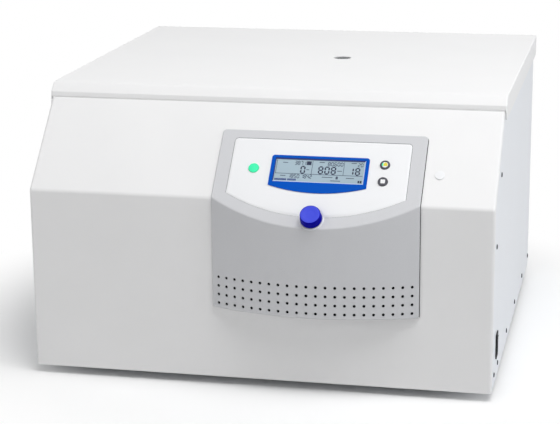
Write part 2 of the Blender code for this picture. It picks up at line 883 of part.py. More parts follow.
def evaporator_coil():
    """One unbroken helix of tube round the bowl, with a point at each of the bowl's corners."""
    steps = coil_turns * chamber_sides
    points = []
    for step in range(steps + 1):
        angle = 2 * pi * step / chamber_sides
        height = bowl_low + coil_start + coil_pitch * step / chamber_sides
        points.append(Vector((coil_radius * cos(angle), coil_radius * sin(angle), height)))
    apart = min(
        (a - b).length
        for place, a in enumerate(points)
        for b in points[place + chamber_sides // 2 : place + 2 * chamber_sides]
    )
    print("evaporator coil: least gap to itself", round(apart - 2 * coil_tube_radius, 5), "m")
    return points


def add_tube(name, points, radius, finish, location=(0, 0, 0), resolution=1):
    curve = bpy.data.curves.new(name, "CURVE")
    curve.dimensions = "3D"
    curve.bevel_depth = radius
    curve.bevel_resolution = resolution
    curve.use_fill_caps = True
    spline = curve.splines.new("POLY")
    spline.points.add(len(points) - 1)
    for knot, point in zip(spline.points, points):
        knot.co = (*point, 1)
    curve.materials.append(finish_material(name, finish))
    tube = bpy.data.objects.new(name, curve)
    tube.location = location
    bpy.context.scene.collection.objects.link(tube)
    return tube


def motor_mount():
    half = motor_mount_height / 2
    waist = motor_mount_radius - motor_mount_waist
    profile = [(0, 0), (motor_mount_radius, 0), (waist, half), (motor_mount_radius, 2 * half), (0, 2 * half)]
    return turned(profile, sides=round_sides // 2)


def drive_motor():
    """An induction motor standing on its flange, with a neck whose bore takes the shaft."""
    flange = motor_low + motor_flange_thickness
    shoulder = motor_top - motor_shoulder
    neck_top = bowl_low - gap
    inner = (shaft_radius + turning_gap) / cos(pi / round_sides)
    profile = [(0, motor_low), (motor_flange_radius, motor_low), (motor_flange_radius, flange)]
    profile += [(motor_radius, flange), (motor_radius, shoulder), (motor_radius - motor_shoulder, motor_top)]
    profile += [(motor_neck_radius, motor_top), (motor_neck_radius, neck_top), (inner, neck_top)]
    profile += [(inner, neck_top - shaft_seat_depth - gap), (0, neck_top - shaft_seat_depth - gap)]
    return turned(profile)


def motor_shaft():
    """Height counts from the trunnion line: journal, collar under the rotor and threaded end."""
    low = bowl_low - gap - shaft_seat_depth - trunnion_z
    seat = hub_low - gap - trunnion_z
    top = hub_high + nut_height * 2 / 3 - trunnion_z
    profile = [(0, low), (shaft_radius, low), (shaft_radius, seat - shaft_collar_height)]
    profile += [(shaft_collar_radius, seat - shaft_collar_height), (shaft_collar_radius, seat)]
    profile += [(shaft_radius, seat), (shaft_radius, top), (0, top)]
    return turned(profile)


def rotor_head():
    """A hub with four arms on the diagonals, whose square heads carry the buckets' pins."""
    neck = head_inner * sqrt(2) + arm_half_width
    inner, outer = head_inner, head_outer
    side_u, side_v = (inner + outer) / sqrt(2), (outer - inner) / sqrt(2)
    far_u = outer * sqrt(2) - head_corner / sqrt(2)
    near_u = hub_radius / 2
    arm = [(near_u, -arm_half_width), (neck, -arm_half_width), (side_u, -side_v)]
    arm += [(far_u, -head_corner / sqrt(2)), (far_u, head_corner / sqrt(2))]
    arm += [(side_u, side_v), (neck, arm_half_width), (near_u, arm_half_width)]
    outline = []
    pins = []
    pin_end = bucket_radius + lug_root
    for quarter in range(4):
        angle = pi / 4 + quarter * pi / 2
        for u, v in arm:
            outline.append((u * cos(angle) - v * sin(angle), u * sin(angle) + v * cos(angle)))
        for side in (-1, 1):
            start, end = side * pin_end, side * (head_inner + arm_half_width)
            pin = rod(trunnion_pin_radius, min(start, end), max(start, end), "Y", round_sides // 2)
            place = moved(pin, (trunnion_radius, 0, 0))
            pins.append(moved(place, (0, 0, 0), Matrix.Rotation(quarter * pi / 2, 4, "Z")))
    star = prism(outline, -arm_half_height, arm_half_height)
    hub = rod(hub_radius, -hub_below, hub_above)
    hole = bore(shaft_radius + gap, -hub_below - overrun, hub_above + overrun)
    return cut(joined(star, hub, gathered(pins)), hole)


def rotor_nut():
    """Height counts from the nut's seat. Its blind bore takes the shaft's end."""
    inner = (shaft_radius + gap) / cos(pi / round_sides)
    depth = nut_height * 2 / 3 + gap
    crown = nut_radius * 2 / 3
    profile = [(0, depth), (inner, depth), (inner, 0), (nut_radius, 0), (nut_radius, nut_height * 2 / 3)]
    return turned(profile + [(crown, nut_height), (0, nut_height)])


def bucket():
    """An open cup hung on two lugs. The origin is on the line of its trunnion pins."""
    wall, low, top = bucket_wall, -bucket_below, bucket_above
    corner = bucket_radius - bucket_fillet
    outer = arc(corner, low + bucket_fillet, bucket_fillet, -pi / 2, 0, arc_steps // 2)
    inner = arc(corner, low + bucket_fillet, bucket_fillet - wall, 0, -pi / 2, arc_steps // 2)
    profile = [(0, low)] + outer + [(bucket_radius, top), (bucket_radius - wall, top)]
    profile += inner + [(0, low + wall)]
    cup = turned(profile, sides=round_sides)
    lugs = []
    bores = []
    for side in (-1, 1):
        root = side * (bucket_radius - wall / 2)
        tip = side * lug_reach
        low = (-lug_half_width, min(root, tip), -lug_half_height)
        lugs.append(block(low, (lug_half_width, max(root, tip), lug_half_height)))
        start, end = side * (bucket_radius + wall / 3), side * (lug_reach + overrun)
        bores.append(
            bore(trunnion_pin_radius + turning_gap, min(start, end), max(start, end), "Y", round_sides // 2)
        )
    return cut(joined(cup, gathered(lugs)), gathered(bores))


def latch_bracket():
    """A channel under the deck, open at the top, with a pin across it for the hook."""
    half = striker_half_width + slot_clearance / 2 + latch_wall
    high = deck_low - gap
    body = block((-half, -latch_front, latch_low), (half, latch_back, high))
    inner = half - latch_wall
    channel = block(
        (-inner, -latch_front - overrun, latch_low + latch_wall),
        (inner, latch_back + overrun, lid_top),
    )
    pin = moved(
        rod(latch_pin_radius, latch_wall / 2 - half, half - latch_wall / 2, "X"),
        (0, latch_pivot_back, latch_low + latch_pivot_height),
    )
    return joined(cut(body, channel), pin)


def latch_hook():
    """A hook on the bracket's pin, drawn locked: its nose points forward into the striker's loop."""
    ring = hook_width
    outline = arc(0, 0, ring, pi, 2 * pi, round_sides // 2)
    outline += [(ring, hook_height), (-hook_nose, hook_height)]
    outline += [(-hook_nose, hook_height - hook_nose_height), (-ring, hook_height - hook_nose_height)]
    plate = prism(outline, -hook_half_width, hook_half_width, "X")
    return cut(plate, bore(latch_pin_radius + turning_gap, -overrun, overrun, "X"))


def compressor():
    top = compressor_height
    shoulder = top - compressor_dome
    profile = [(0, 0), (compressor_radius, 0), (compressor_radius, compressor_foot / 2)]
    profile += [(compressor_radius - compressor_foot, compressor_foot)]
    profile += [(compressor_radius, top / 3), (compressor_radius, shoulder)]
    profile += [(compressor_top_radius, top), (0, top)]
    return turned(profile)


def condenser():
    """A core with upright fins along its front."""
    half = condenser_width / 2
    pitch = condenser_width / (2 * fin_count - 1)
    outline = [(half, condenser_thickness), (-half, condenser_thickness)]
    for fin in range(fin_count):
        start = -half + 2 * fin * pitch
        outline += [(start, 0), (start + pitch, 0)]
        if fin < fin_count - 1:
            outline += [(start + pitch, fin_depth), (start + 2 * pitch, fin_depth)]
    return prism(outline, 0, condenser_height)


def fan_shroud():
    """A plate on the condenser's face with a round opening, two spokes and the fan's boss and pin."""
    half = condenser_width / 2
    opening = fan_radius + fan_clearance
    low, high = base_top + gap - fan_z, base_top + condenser_height - fan_z
    plate = block((-half, 0, low), (half, shroud_thickness, high))
    plate = cut(plate, rod(opening, -overrun, overrun, "Y"))
    reach = opening + spoke_width / 2
    skin = shroud_thickness / 4
    upright = block((-spoke_width / 2, skin, -reach), (spoke_width / 2, shroud_thickness - skin, reach))
    boss = rod(fan_boss_radius, -fan_boss_depth, shroud_thickness, "Y")
    pin = rod(fan_pin_radius, -fan_boss_depth - gap - fan_width / 2, 0, "Y")
    return joined(plate, upright, boss, pin)


def condenser_fan():
    """Drawn from its front: a hub with a bore for the pin, and pitched blades."""
    fan = rod(fan_hub_radius, 0, fan_width, "Y")
    for number in range(fan_blades):
        blade = block(
            (-fan_blade_chord / 2, -fan_blade_thickness / 2, fan_hub_radius / 2),
            (fan_blade_chord / 2, fan_blade_thickness / 2, fan_radius),
        )
        place = Matrix.Rotation(2 * pi * number / fan_blades, 4, "Y") @ Matrix.Rotation(fan_pitch, 4, "Z")
        fan = joined(fan, moved(moved(blade, (0, 0, 0), place), (0, fan_width / 2, 0)))
    hole = bore(fan_pin_radius + turning_gap, fan_width / 3, fan_width + overrun, "Y", round_sides // 2)
    return cut(fan, hole)


def bent_path(corners, radius):
    """Points along straight runs with a round bend of one radius at each inner corner."""
    points = [Vector(corners[0])]
    for before, corner, after in zip(corners, corners[1:], corners[2:]):
        corner = Vector(corner)
        back = (Vector(before) - corner).normalized()
        ahead = (Vector(after) - corner).normalized()
        half = back.angle(ahead) / 2
        run = radius / tan(half)
        centre = corner + (back + ahead).normalized() * radius / sin(half)
        start = corner + back * run - centre
        end = corner + ahead * run - centre
        sweep = pi - 2 * half
        for step in range(arc_steps + 1):
            share = step / arc_steps
            points.append(centre + (start * sin((1 - share) * sweep) + end * sin(share * sweep)) / sin(sweep))
    return points + [Vector(corners[-1])]


def power_module():
    """An inverter box on a wider foot plate."""
    foot = block((-module_flange, -module_flange, 0), (module_width, module_depth + module_flange, sheet))
    box = block((0, 0, sheet / 2), (module_width - module_flange, module_depth, module_height))
    return joined(foot, box)


def power_inlet():
    """A mains socket through the rear panel: flange, body, recess and three flat pins."""
    half_x, half_z = inlet_width / 2, inlet_height / 2
    body = block((-half_x, -inlet_depth, -half_z), (half_x, gap + inlet_flange_thickness / 2, half_z))
    wide = half_x + inlet_flange
    high = half_z + inlet_wall
    mouth = gap + inlet_flange_thickness
    flange = block((-wide, gap, -high), (wide, mouth, high))
    recess = block(
        (inlet_wall - half_x, mouth - inlet_recess, inlet_wall - half_z),
        (half_x - inlet_wall, mouth + overrun, half_z - inlet_wall),
    )
    inlet = cut(joined(body, flange), recess)
    pins = []
    for column in (-1, 0, 1):
        x = column * blade_spacing
        low = inlet_wall - half_z + blade_height / 2
        pins.append(
            block(
                (x - blade_half_width, mouth - inlet_recess - inlet_wall / 2, low),
                (x + blade_half_width, -inlet_wall, low + blade_height),
            )
        )
    return joined(inlet, gathered(pins))


def switch_frame():
    """The switch's collar and box, drawn about its rocker's pivot, with the panel's face at x = 0."""
    half_y, half_z = switch_width / 2, switch_height / 2
    inner_y, inner_z = half_y - switch_lip, half_z - switch_lip
    lip = block((gap, -half_y, -half_z), (gap + switch_lip_thickness, half_y, half_z))
    box = block((-switch_depth, -inner_y, -inner_z), (gap + switch_lip_thickness / 2, inner_y, inner_z))
    hollow = block(
        (switch_wall - switch_depth, switch_wall - inner_y, switch_wall - inner_z),
        (overrun, inner_y - switch_wall, inner_z - switch_wall),
    )
    pin = moved(rod(rocker_pin_radius, -inner_y, inner_y, "Y"), (-switch_lip_thickness, 0, 0))
    return joined(cut(joined(box, lip), hollow), pin)


def switch_rocker():
    """A rocker with a shallow valley in its face, drawn level about its pivot line."""
    half_y = switch_width / 2 - switch_lip - switch_wall - turning_gap
    half_z = switch_height / 2 - switch_lip - 2 * switch_wall
    face = switch_lip_thickness * 2
    outline = [
        (face - rocker_valley / 2, 0),
        (face, half_z),
        (face - rocker_valley, half_z),
        (-rocker_depth / 2, half_z / 3),
        (-rocker_depth / 2, -half_z / 3),
        (face - rocker_valley, -half_z),
        (face, -half_z),
    ]
    body = prism(outline, -half_y, half_y, "Y")
    hole = bore(rocker_pin_radius + turning_gap / 2, -overrun - half_y, overrun + half_y, "Y")
    return cut(body, hole)


def bezel_rows(shrink):
    """The control moulding's skin, or with shrink its inner skin, as columns of five points.

    Each column runs from the panel round the bottom edge, up the bulge, over the crease
    and up the slope, back to the panel. The bulge is an upright cylinder and the crease is
    where it meets the sloped plane. The first and last columns lie on the panel.
    """
    half = bezel_half_width - shrink
    radius = bezel_radius - shrink
    corner = bezel_corner - shrink
    level = bezel_proud - shrink
    bottom = base_z + bezel_bottom + shrink
    columns = []
    shares = [sin(pi / 2 * (2 * column / bezel_columns - 1)) for column in range(bezel_columns + 1)]
    for number, share in enumerate([-1] + shares + [1]):
        on_panel = number in (0, bezel_columns + 2)
        across = half * share
        bulge_y = bezel_axis_y - sqrt(radius**2 - across**2)
        into_corner = max(0, abs(across) - (half - corner))
        top = bezel_top - shrink - corner + sqrt(max(0, corner**2 - into_corner**2))
        rise = gap if on_panel else level
        face_y = front_y - gap if on_panel else bulge_y
        crease_z = break_z + (rise + (face_y - front_y) * slope_sin) / slope_cos
        edge_y, edge_z = front_y + top * slope_cos, break_z + top * slope_sin
        x = bezel_x + across
        columns.append(
            [
                (x, front_y - gap, bottom),
                (x, face_y, bottom),
                (x, face_y, crease_z),
                (x, edge_y - rise * slope_sin, edge_z + rise * slope_cos),
                (x, edge_y - gap * slope_sin, edge_z + gap * slope_cos),
            ]
        )
    return columns


def bezel_shell():
    """Outer and inner skin joined along their rims, which lie on the panel."""
    bm = bmesh.new()
    skins = []
    for shrink in (0, bezel_wall):
        skins.append([[bm.verts.new(point) for point in column] for column in bezel_rows(shrink)])
    for skin in skins:
        for column, following in zip(skin, skin[1:]):
            for row in range(len(column) - 1):
                bm.faces.new((column[row], following[row], following[row + 1], column[row + 1]))
    outer, inner = skins
    rims = []
    for skin in skins:
        bottom = [column[0] for column in skin]
        top = [column[-1] for column in skin]
        rims.append(bottom + skin[-1][1:-1] + top[::-1] + skin[0][-2:0:-1])
    outer_rim, inner_rim = rims
    count = len(outer_rim)
    for place in range(count):
        following = (place + 1) % count
        bm.faces.new((outer_rim[place], outer_rim[following], inner_rim[following], inner_rim[place]))
    bmesh.ops.remove_doubles(bm, verts=bm.verts, dist=gap / 100)
    bmesh.ops.recalc_face_normals(bm, faces=bm.faces)
    return bm


def vent_holes():
    """Small cutters square to the bulge, in rows along it."""
    holes = []
    for column in range(vent_columns):
        angle = (column - (vent_columns - 1) / 2) * vent_pitch_x / bezel_radius
        turn = Matrix.Rotation(angle, 4, "Z")
        for row in range(vent_rows):
            height = base_z + vent_first_z + row * vent_pitch_z
            hole = rod(vent_radius, -bezel_wall, bezel_wall, "Y", hole_sides)
            hole = moved(hole, (0, bezel_wall / 2 - bezel_radius, 0))
            holes.append(moved(moved(hole, (0, 0, 0), turn), (bezel_x, bezel_axis_y, height)))
    return gathered(holes)


def control_bezel():
    shell = bezel_shell()
    tilt = Matrix.Rotation(slope_angle, 4, "X")
    corner = (0, front_y, break_z)
    half_x = screen_half_outer + gap
    window = block(
        (frame_x - half_x, screen_low - screen_border - gap, 0),
        (frame_x + half_x, screen_high + screen_border + gap, bezel_proud + overrun),
    )
    encoder_hole = moved(bore(encoder_radius + gap, 0, bezel_proud + overrun), (bezel_x, knob_s, 0))
    shell = cut(shell, moved(window, corner, tilt), moved(encoder_hole, corner, tilt))
    return cut(shell, vent_holes())


def arched_plate(half, top, side_low, low, corner, steps):
    """Outline of a plate with two round top corners and a bottom edge that is one arc."""
    sag = side_low - low
    radius = (half**2 + sag**2) / (2 * sag)
    spread = atan2(half, radius - sag)
    points = arc(0, low + radius, radius, -pi / 2 - spread, -pi / 2 + spread, steps)
    points += arc(half - corner, top - corner, corner, 0, pi / 2)
    return points + arc(corner - half, top - corner, corner, pi / 2, pi)


def fascia():
    """The white plate in slope coordinates about the moulding's middle, with its holes."""
    outline = arched_plate(
        fascia_half_width, fascia_top, fascia_side_low, fascia_low, fascia_corner, 3 * arc_steps
    )
    plate = prism(outline, 0, fascia_thickness)
    half_x = screen_half_outer + gap
    shift = frame_x - bezel_x
    window = block(
        (shift - half_x, screen_low - screen_border - gap, -overrun),
        (shift + half_x, screen_high + screen_border + gap, overrun),
    )
    holes = [window]
    for x, s, radius in key_places().values():
        holes.append(moved(bore(radius + gap, -overrun, overrun), (x - bezel_x, s, 0)))
    holes.append(moved(bore(knob_base_radius + knob_recess, -overrun, overrun), (0, knob_s, 0)))
    return cut(plate, gathered(holes))


def display_frame():
    corner = 2 * screen_border
    outline = arched_plate(frame_half_width, frame_top, frame_side_low, frame_low, corner, 2 * arc_steps)
    plate = prism(outline, 0, frame_thickness)
    window = block((-screen_half_width, screen_low, -overrun), (screen_half_width, screen_high, overrun))
    return cut(plate, window)


def key_places():
    return {
        "start_key": (start_key_x, start_key_s, start_key_radius),
        "lid_key": (side_key_x, lid_key_s, side_key_radius),
        "stop_key": (side_key_x, stop_key_s, side_key_radius),
    }


def key_cap(radius):
    high = fascia_thickness - key_travel + key_proud
    profile = [(0, 0), (radius, 0), (radius, high - key_crown), (radius - key_crown, high), (0, high)]
    return turned(profile, sides=round_sides + round_sides // 2)


def control_knob():
    """Height counts from the knob's foot. A blind bore in it takes the encoder's shaft."""
    inner = (encoder_radius + gap) / cos(pi / fine_sides)
    profile = [(0, knob_bore_depth), (inner, knob_bore_depth), (inner, 0), (knob_base_radius, 0)]
    profile += [(knob_face_radius, knob_height - knob_edge), (knob_face_radius - knob_edge, knob_height)]
    return turned(profile + [(0, knob_height)], sides=fine_sides)


def encoder_shaft():
    """Height counts from the slope: tail, collar behind the moulding, and the knob's spindle."""
    collar_top = bezel_proud - bezel_wall - gap
    collar_low = collar_top - encoder_collar_height
    tip = knob_low + knob_bore_depth - knob_travel - gap
    profile = [(0, collar_low - encoder_tail), (encoder_radius, collar_low - encoder_tail)]
    profile += [(encoder_radius, collar_low), (encoder_collar_radius, collar_low)]
    profile += [(encoder_collar_radius, collar_top), (encoder_radius, collar_top)]
    return turned(profile + [(encoder_radius, tip), (0, tip)])


def release_plug():
    """Height counts from the slope: a thin cap on a shank that sits in the panel's hole."""
    edge = plug_thickness / 3
    cap = gap + plug_thickness
    profile = [(0, -plug_shank_length), (plug_shank_radius, -plug_shank_length), (plug_shank_radius, gap)]
    profile += [(plug_radius, gap), (plug_radius, cap - edge), (plug_radius - edge, cap), (0, cap)]
    return turned(profile)


def build_housing():
    base_low = front_y + sheet + gap
    base = block((-inner_half, base_low, base_z), (inner_half, back_y, base_top))
    add_piece("base_plate", base, "galvanised")
    add_piece("front_panel", front_panel(), "white_paint", smooth=True)
    add_piece("left_side_panel", side_panel(-1), "side_paint")
    add_piece("right_side_panel", side_panel(1), "side_paint")
    add_piece("rear_panel", rear_panel(), "side_paint")
    add_piece("top_deck", top_deck(), "white_paint", smooth=True)
    top = foot_height - gap
    foot = turned([(0, 0), (foot_radius - foot_taper, 0), (foot_radius, top), (0, top)])
    places = {
        "foot_front_left": (-1, front_y + foot_inset),
        "foot_front_right": (1, front_y + foot_inset),
        "foot_rear_left": (-1, back_y - foot_inset),
        "foot_rear_right": (1, back_y - foot_inset),
    }
    for name, (side, y) in places.items():
        x = side * (half_width - foot_inset)
        foot = add_piece(name, foot, "black_rubber", (x, y, 0), smooth=True).data


def build_lid():
    axis = add_empty("lid_hinge_axis", (0, hinge_y, hinge_z))
    back = (0, -hinge_y, -hinge_z)
    add_piece("lid_cover", lid_cover(), "white_paint", back, parent=axis, smooth=True)
    add_piece("lid_liner", lid_liner(), "galvanised", back, parent=axis, smooth=True)
    window_place = (chamber_x, chamber_y - hinge_y, -hinge_z)
    add_piece("lid_window", lid_window(), "glass", window_place, parent=axis, smooth=True)
    add_piece("striker_bar", striker_bar(), "bright_steel", back, parent=axis)
    add_piece("hinge_leaf", hinge_leaf(), "galvanised", back, parent=axis, smooth=True)
    add_piece("hinge_rail", hinge_rail(), "galvanised", smooth=True)
    shaft = rod(hinge_shaft_radius, -hinge_length / 2, hinge_length / 2, "X")
    add_piece("hinge_shaft", shaft, "bright_steel", (0, hinge_y, hinge_z), smooth=True)
    cylinder, piston = gas_spring_cylinder(), gas_spring_rod()
    for name, side in (("left", -1), ("right", 1)):
        pivot = add_empty(f"gas_spring_{name}_pivot", (side * spring_offset, spring_pivot_y, spring_z))
        outer = add_piece(f"gas_spring_cylinder_{name}", cylinder, "dark_steel", parent=pivot, smooth=True)
        inner = add_piece(f"gas_spring_rod_{name}", piston, "bright_steel", parent=pivot, smooth=True)
        cylinder, piston = outer.data, inner.data


def build_lock():
    bracket, hook = latch_bracket(), latch_hook()
    pivot_y, pivot_z = latch_y + latch_pivot_back, latch_low + latch_pivot_height
    for name, x in latch_places().items():
        bracket = add_piece(f"latch_bracket_{name}", bracket, "galvanised", (x, latch_y, 0)).data
        place, turn = (x, pivot_y, pivot_z), (-hook_release_angle, 0, 0)
        hook = add_piece(f"latch_hook_{name}", hook, "bright_steel", place, turn).data


def build_chamber():
    centre = (chamber_x, chamber_y, 0)
    add_piece("rotor_chamber", rotor_chamber(), "bright_steel", centre, smooth=True)
    add_piece("chamber_gasket", chamber_gasket(), "grey_rubber", centre, smooth=True)
    add_piece("insulation_jacket", insulation_jacket(), "foam", centre, smooth=True)
    add_tube("evaporator_coil", evaporator_coil(), coil_tube_radius, "copper", centre)


def build_drive():
    centre = (chamber_x, chamber_y, 0)
    add_piece("drive_motor", drive_motor(), "dark_steel", centre, smooth=True)
    mount = motor_mount()
    for number, name in enumerate(("rear", "left", "right")):
        angle = pi / 2 + 2 * pi * number / 3
        x = chamber_x + motor_mount_circle * cos(angle)
        y = chamber_y + motor_mount_circle * sin(angle)
        place = (x, y, base_top + gap)
        mount = add_piece(f"motor_mount_{name}", mount, "black_rubber", place, smooth=True).data
    axis = add_empty("rotor_axis", (chamber_x, chamber_y, trunnion_z))
    add_piece("motor_shaft", motor_shaft(), "bright_steel", parent=axis, smooth=True)
    add_piece("rotor_head", rotor_head(), "aluminium", parent=axis, smooth=True)
    nut_place = (0, 0, hub_above + gap)
    add_piece("rotor_nut", rotor_nut(), "dark_steel", nut_place, parent=axis, smooth=True)
    cup = bucket()
    for number in range(4):
        angle = number * pi / 2
        place = (trunnion_radius * cos(angle), trunnion_radius * sin(angle), 0)
        name = f"bucket_{number + 1}"
        cup = add_piece(name, cup, "aluminium", place, (0, 0, angle), axis, smooth=True).data


def build_cooling():
    floor = base_top + gap
    add_piece("compressor", compressor(), "dark_steel", (compressor_x, compressor_y, floor), smooth=True)
    add_piece("condenser", condenser(), "aluminium", (condenser_x, condenser_y, floor))
    add_piece("fan_shroud", fan_shroud(), "black_plastic", (condenser_x, shroud_y, fan_z), smooth=True)
    add_piece("condenser_fan", condenser_fan(), "black_plastic", (condenser_x, fan_y, fan_z), smooth=True)
    start = floor + compressor_height + gap
    level = floor + condenser_height + pipe_rise
    end_y = condenser_y + condenser_thickness / 2
    corners = [
        (compressor_x, compressor_y, start),
        (compressor_x, compressor_y, level),
        (compressor_x, end_y, level),
        (compressor_x, end_y, floor + condenser_height + gap),
    ]
    add_tube("discharge_pipe", bent_path(corners, pipe_bend), pipe_radius, "copper")


def build_electronics():
    box_x = half_width - module_inset - module_width
    place = (box_x, front_y + module_setback, base_top + gap)
    add_piece("power_module", power_module(), "aluminium", place)
    add_piece("power_inlet", power_inlet(), "black_plastic", (inlet_x, back_y, inlet_z))
    pivot = (half_width, front_y + switch_setback, switch_z)
    add_piece("switch_frame", switch_frame(), "black_plastic", pivot, smooth=True)
    rocker_place = (pivot[0] - switch_lip_thickness, pivot[1], pivot[2])
    add_piece("switch_rocker", switch_rocker(), "black_plastic", rocker_place, (0, rocker_angle / 2, 0))


def build_controls():
    add_piece("control_bezel", control_bezel(), "bezel_grey", smooth=True)
    slope = add_empty("slope_frame", (0, front_y, break_z), (slope_angle, 0, 0))
    add_piece("fascia", fascia(), "fascia_white", (bezel_x, 0, fascia_low_n), parent=slope)
    frame_place = (frame_x, 0, fascia_high_n + gap)
    add_piece("display_frame", display_frame(), "frame_blue", frame_place, parent=slope)
    screen_s = (screen_low + screen_high) / 2
    half_s = (screen_high - screen_low) / 2 + screen_border
    screen = block((-screen_half_outer, -half_s, -screen_depth), (screen_half_outer, half_s, 0))
    add_piece("display_screen", screen, "screen_grey", (frame_x, screen_s, fascia_high_n), parent=slope)
    board_low = (-board_width / 2, -board_height / 2, -board_thickness)
    board = block(board_low, (board_width / 2, board_height / 2, 0))
    board_place = (frame_x, screen_s, fascia_high_n - screen_depth - gap)
    add_piece("control_board", board, "board_green", board_place, parent=slope)
    colours = {"start_key": "key_green", "lid_key": "key_dark", "stop_key": "key_dark"}
    for name, (x, s, radius) in key_places().items():
        place = (x, s, fascia_low_n + key_travel)
        add_piece(name, key_cap(radius), colours[name], place, parent=slope, smooth=True)
    shaft_place = (bezel_x, knob_s, 0)
    add_piece("encoder_shaft", encoder_shaft(), "bright_steel", shaft_place, parent=slope, smooth=True)
    knob_place = (bezel_x, knob_s, knob_low)
    add_piece("control_knob", control_knob(), "knob_blue", knob_place, parent=slope, smooth=True)
    add_piece("release_plug", release_plug(), "fascia_white", (plug_x, plug_s, 0), parent=slope, smooth=True)


clear_scene()
build_housing()
build_lid()
build_lock()
build_chamber()
build_drive()
build_cooling()
build_electronics()
build_controls()
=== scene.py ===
"""Looks of a refrigerated benchtop centrifuge: finishes, fine surfaces, display figures, screws, light and camera.

Metres, +Z up, +Y towards the back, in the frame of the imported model. Points on the sloped front are
written as (x, s, n): s runs up the slope from the line where face and slope meet, n stands out of it.
"""

import json
from math import cos, pi, radians, sin, sqrt, tan

import bmesh
import bpy
import numpy as np
from mathutils import Matrix, Vector


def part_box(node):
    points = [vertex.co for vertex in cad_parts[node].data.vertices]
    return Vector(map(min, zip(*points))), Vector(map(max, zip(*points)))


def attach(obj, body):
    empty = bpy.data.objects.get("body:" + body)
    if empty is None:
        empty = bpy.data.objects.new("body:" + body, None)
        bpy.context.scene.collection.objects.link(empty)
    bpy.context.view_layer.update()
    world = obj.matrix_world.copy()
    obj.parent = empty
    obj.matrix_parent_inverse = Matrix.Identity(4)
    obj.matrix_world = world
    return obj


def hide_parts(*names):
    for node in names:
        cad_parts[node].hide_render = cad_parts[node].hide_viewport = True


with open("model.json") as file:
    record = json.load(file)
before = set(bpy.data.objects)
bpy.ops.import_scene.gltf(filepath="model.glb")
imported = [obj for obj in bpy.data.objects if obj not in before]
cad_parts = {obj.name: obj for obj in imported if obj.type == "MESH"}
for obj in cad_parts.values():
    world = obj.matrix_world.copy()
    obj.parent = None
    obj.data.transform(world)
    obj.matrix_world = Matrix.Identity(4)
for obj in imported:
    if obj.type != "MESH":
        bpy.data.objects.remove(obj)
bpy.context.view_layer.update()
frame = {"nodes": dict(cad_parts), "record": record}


def middle_of(node):
    low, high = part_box(node)
    return (low + high) / 2


# The housing's main lines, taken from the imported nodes
front_low, front_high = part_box("front_panel")
lid_low, lid_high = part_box("lid_cover")
front_y, base_z, half_width = front_low.y, front_low.z, front_high.x
back_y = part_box("left_side_panel")[1].y
lid_half, lid_back_y, lid_top, skirt_z = lid_high.x, lid_high.y, lid_high.z, lid_low.z
break_z, slope_run, slope_angle, front_bend = 0.270, 0.112, radians(45), 0.008
slope_top_y, slope_top_z = front_y + slope_run, break_z + slope_run
bend_turn = pi / 2 - slope_angle
bend_low_z = break_z - front_bend * tan(bend_turn / 2)
sheet, gap = 0.002, 0.0003
slope = Matrix.Translation((0, front_y, break_z)) @ Matrix.Rotation(slope_angle, 4, "X")

# Rotor chamber and its axis
bowl_low, bowl_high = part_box("rotor_chamber")
chamber_middle = middle_of("rotor_chamber")
chamber_x, chamber_y = chamber_middle.x, chamber_middle.y
chamber = Matrix.Translation((chamber_x, chamber_y, 0))
trunnion_z = 0.285

# Control moulding, fascia and display
bezel_x, bezel_half_width, bezel_top = 0.0815, 0.1435, 0.1100
bezel_low_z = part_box("control_bezel")[0].z
bezel_proud, bezel_bulge, bezel_corner, bezel_wall = 0.004, 0.030, 0.005, 0.003
bezel_radius = (bezel_half_width**2 + bezel_bulge**2) / (2 * bezel_bulge)
bezel_axis_y = front_y - bezel_proud - bezel_bulge + bezel_radius
seam = 0.0010
vent_columns, vent_rows = 22, 4
vent_pitch_x, vent_pitch_z, vent_shift = 0.0131, 0.0124, 0.0008
vent_first_z, vent_radius = base_z + 0.1109, 0.0021
fascia_half, fascia_top, fascia_low, fascia_sag = 0.1236, 0.0953, -0.0265, 0.0331
fascia_foot_n = bezel_proud + 0.0002
fascia_n = bezel_proud + gap
fascia_high_n = fascia_n + 0.0012
frame_x = 0.0823
screen_half, screen_low, screen_high, window_border = 0.0615, 0.028, 0.063, 0.0023
knob_s, knob_n, knob_clearance = -0.029, bezel_proud + gap + 0.001, 0.017
plug_x, plug_s = 0.246, 0.050
# Middle and radius of each key
keys = {
    "start_key": (-0.009, 0.0466, 0.00725),
    "lid_key": (0.1712, 0.0597, 0.00685),
    "stop_key": (0.1712, 0.0331, 0.00685),
}

node_body = {name: body for body, names in frame["record"]["behaviour"]["bodies"].items() for name in names}
materials = {}


# Finishes

def set_inputs(tree, node, inputs):
    """Fills a node's inputs. A value is set, a socket is linked, and a node stands for its first output."""
    for name, value in inputs.items():
        if isinstance(value, bpy.types.Node):
            value = value.outputs[0]
        if isinstance(value, bpy.types.NodeSocket):
            tree.links.new(value, node.inputs[name])
        else:
            node.inputs[name].default_value = value


def add_node(tree, kind, inputs=None, **settings):
    """A shader node with its settings and inputs."""
    made = tree.nodes.new("ShaderNode" + kind)
    for name, value in settings.items():
        setattr(made, name, value)
    set_inputs(tree, made, inputs or {})
    return made


def calculated(tree, operation, first, second):
    return add_node(tree, "Math", {0: first, 1: second}, operation=operation)


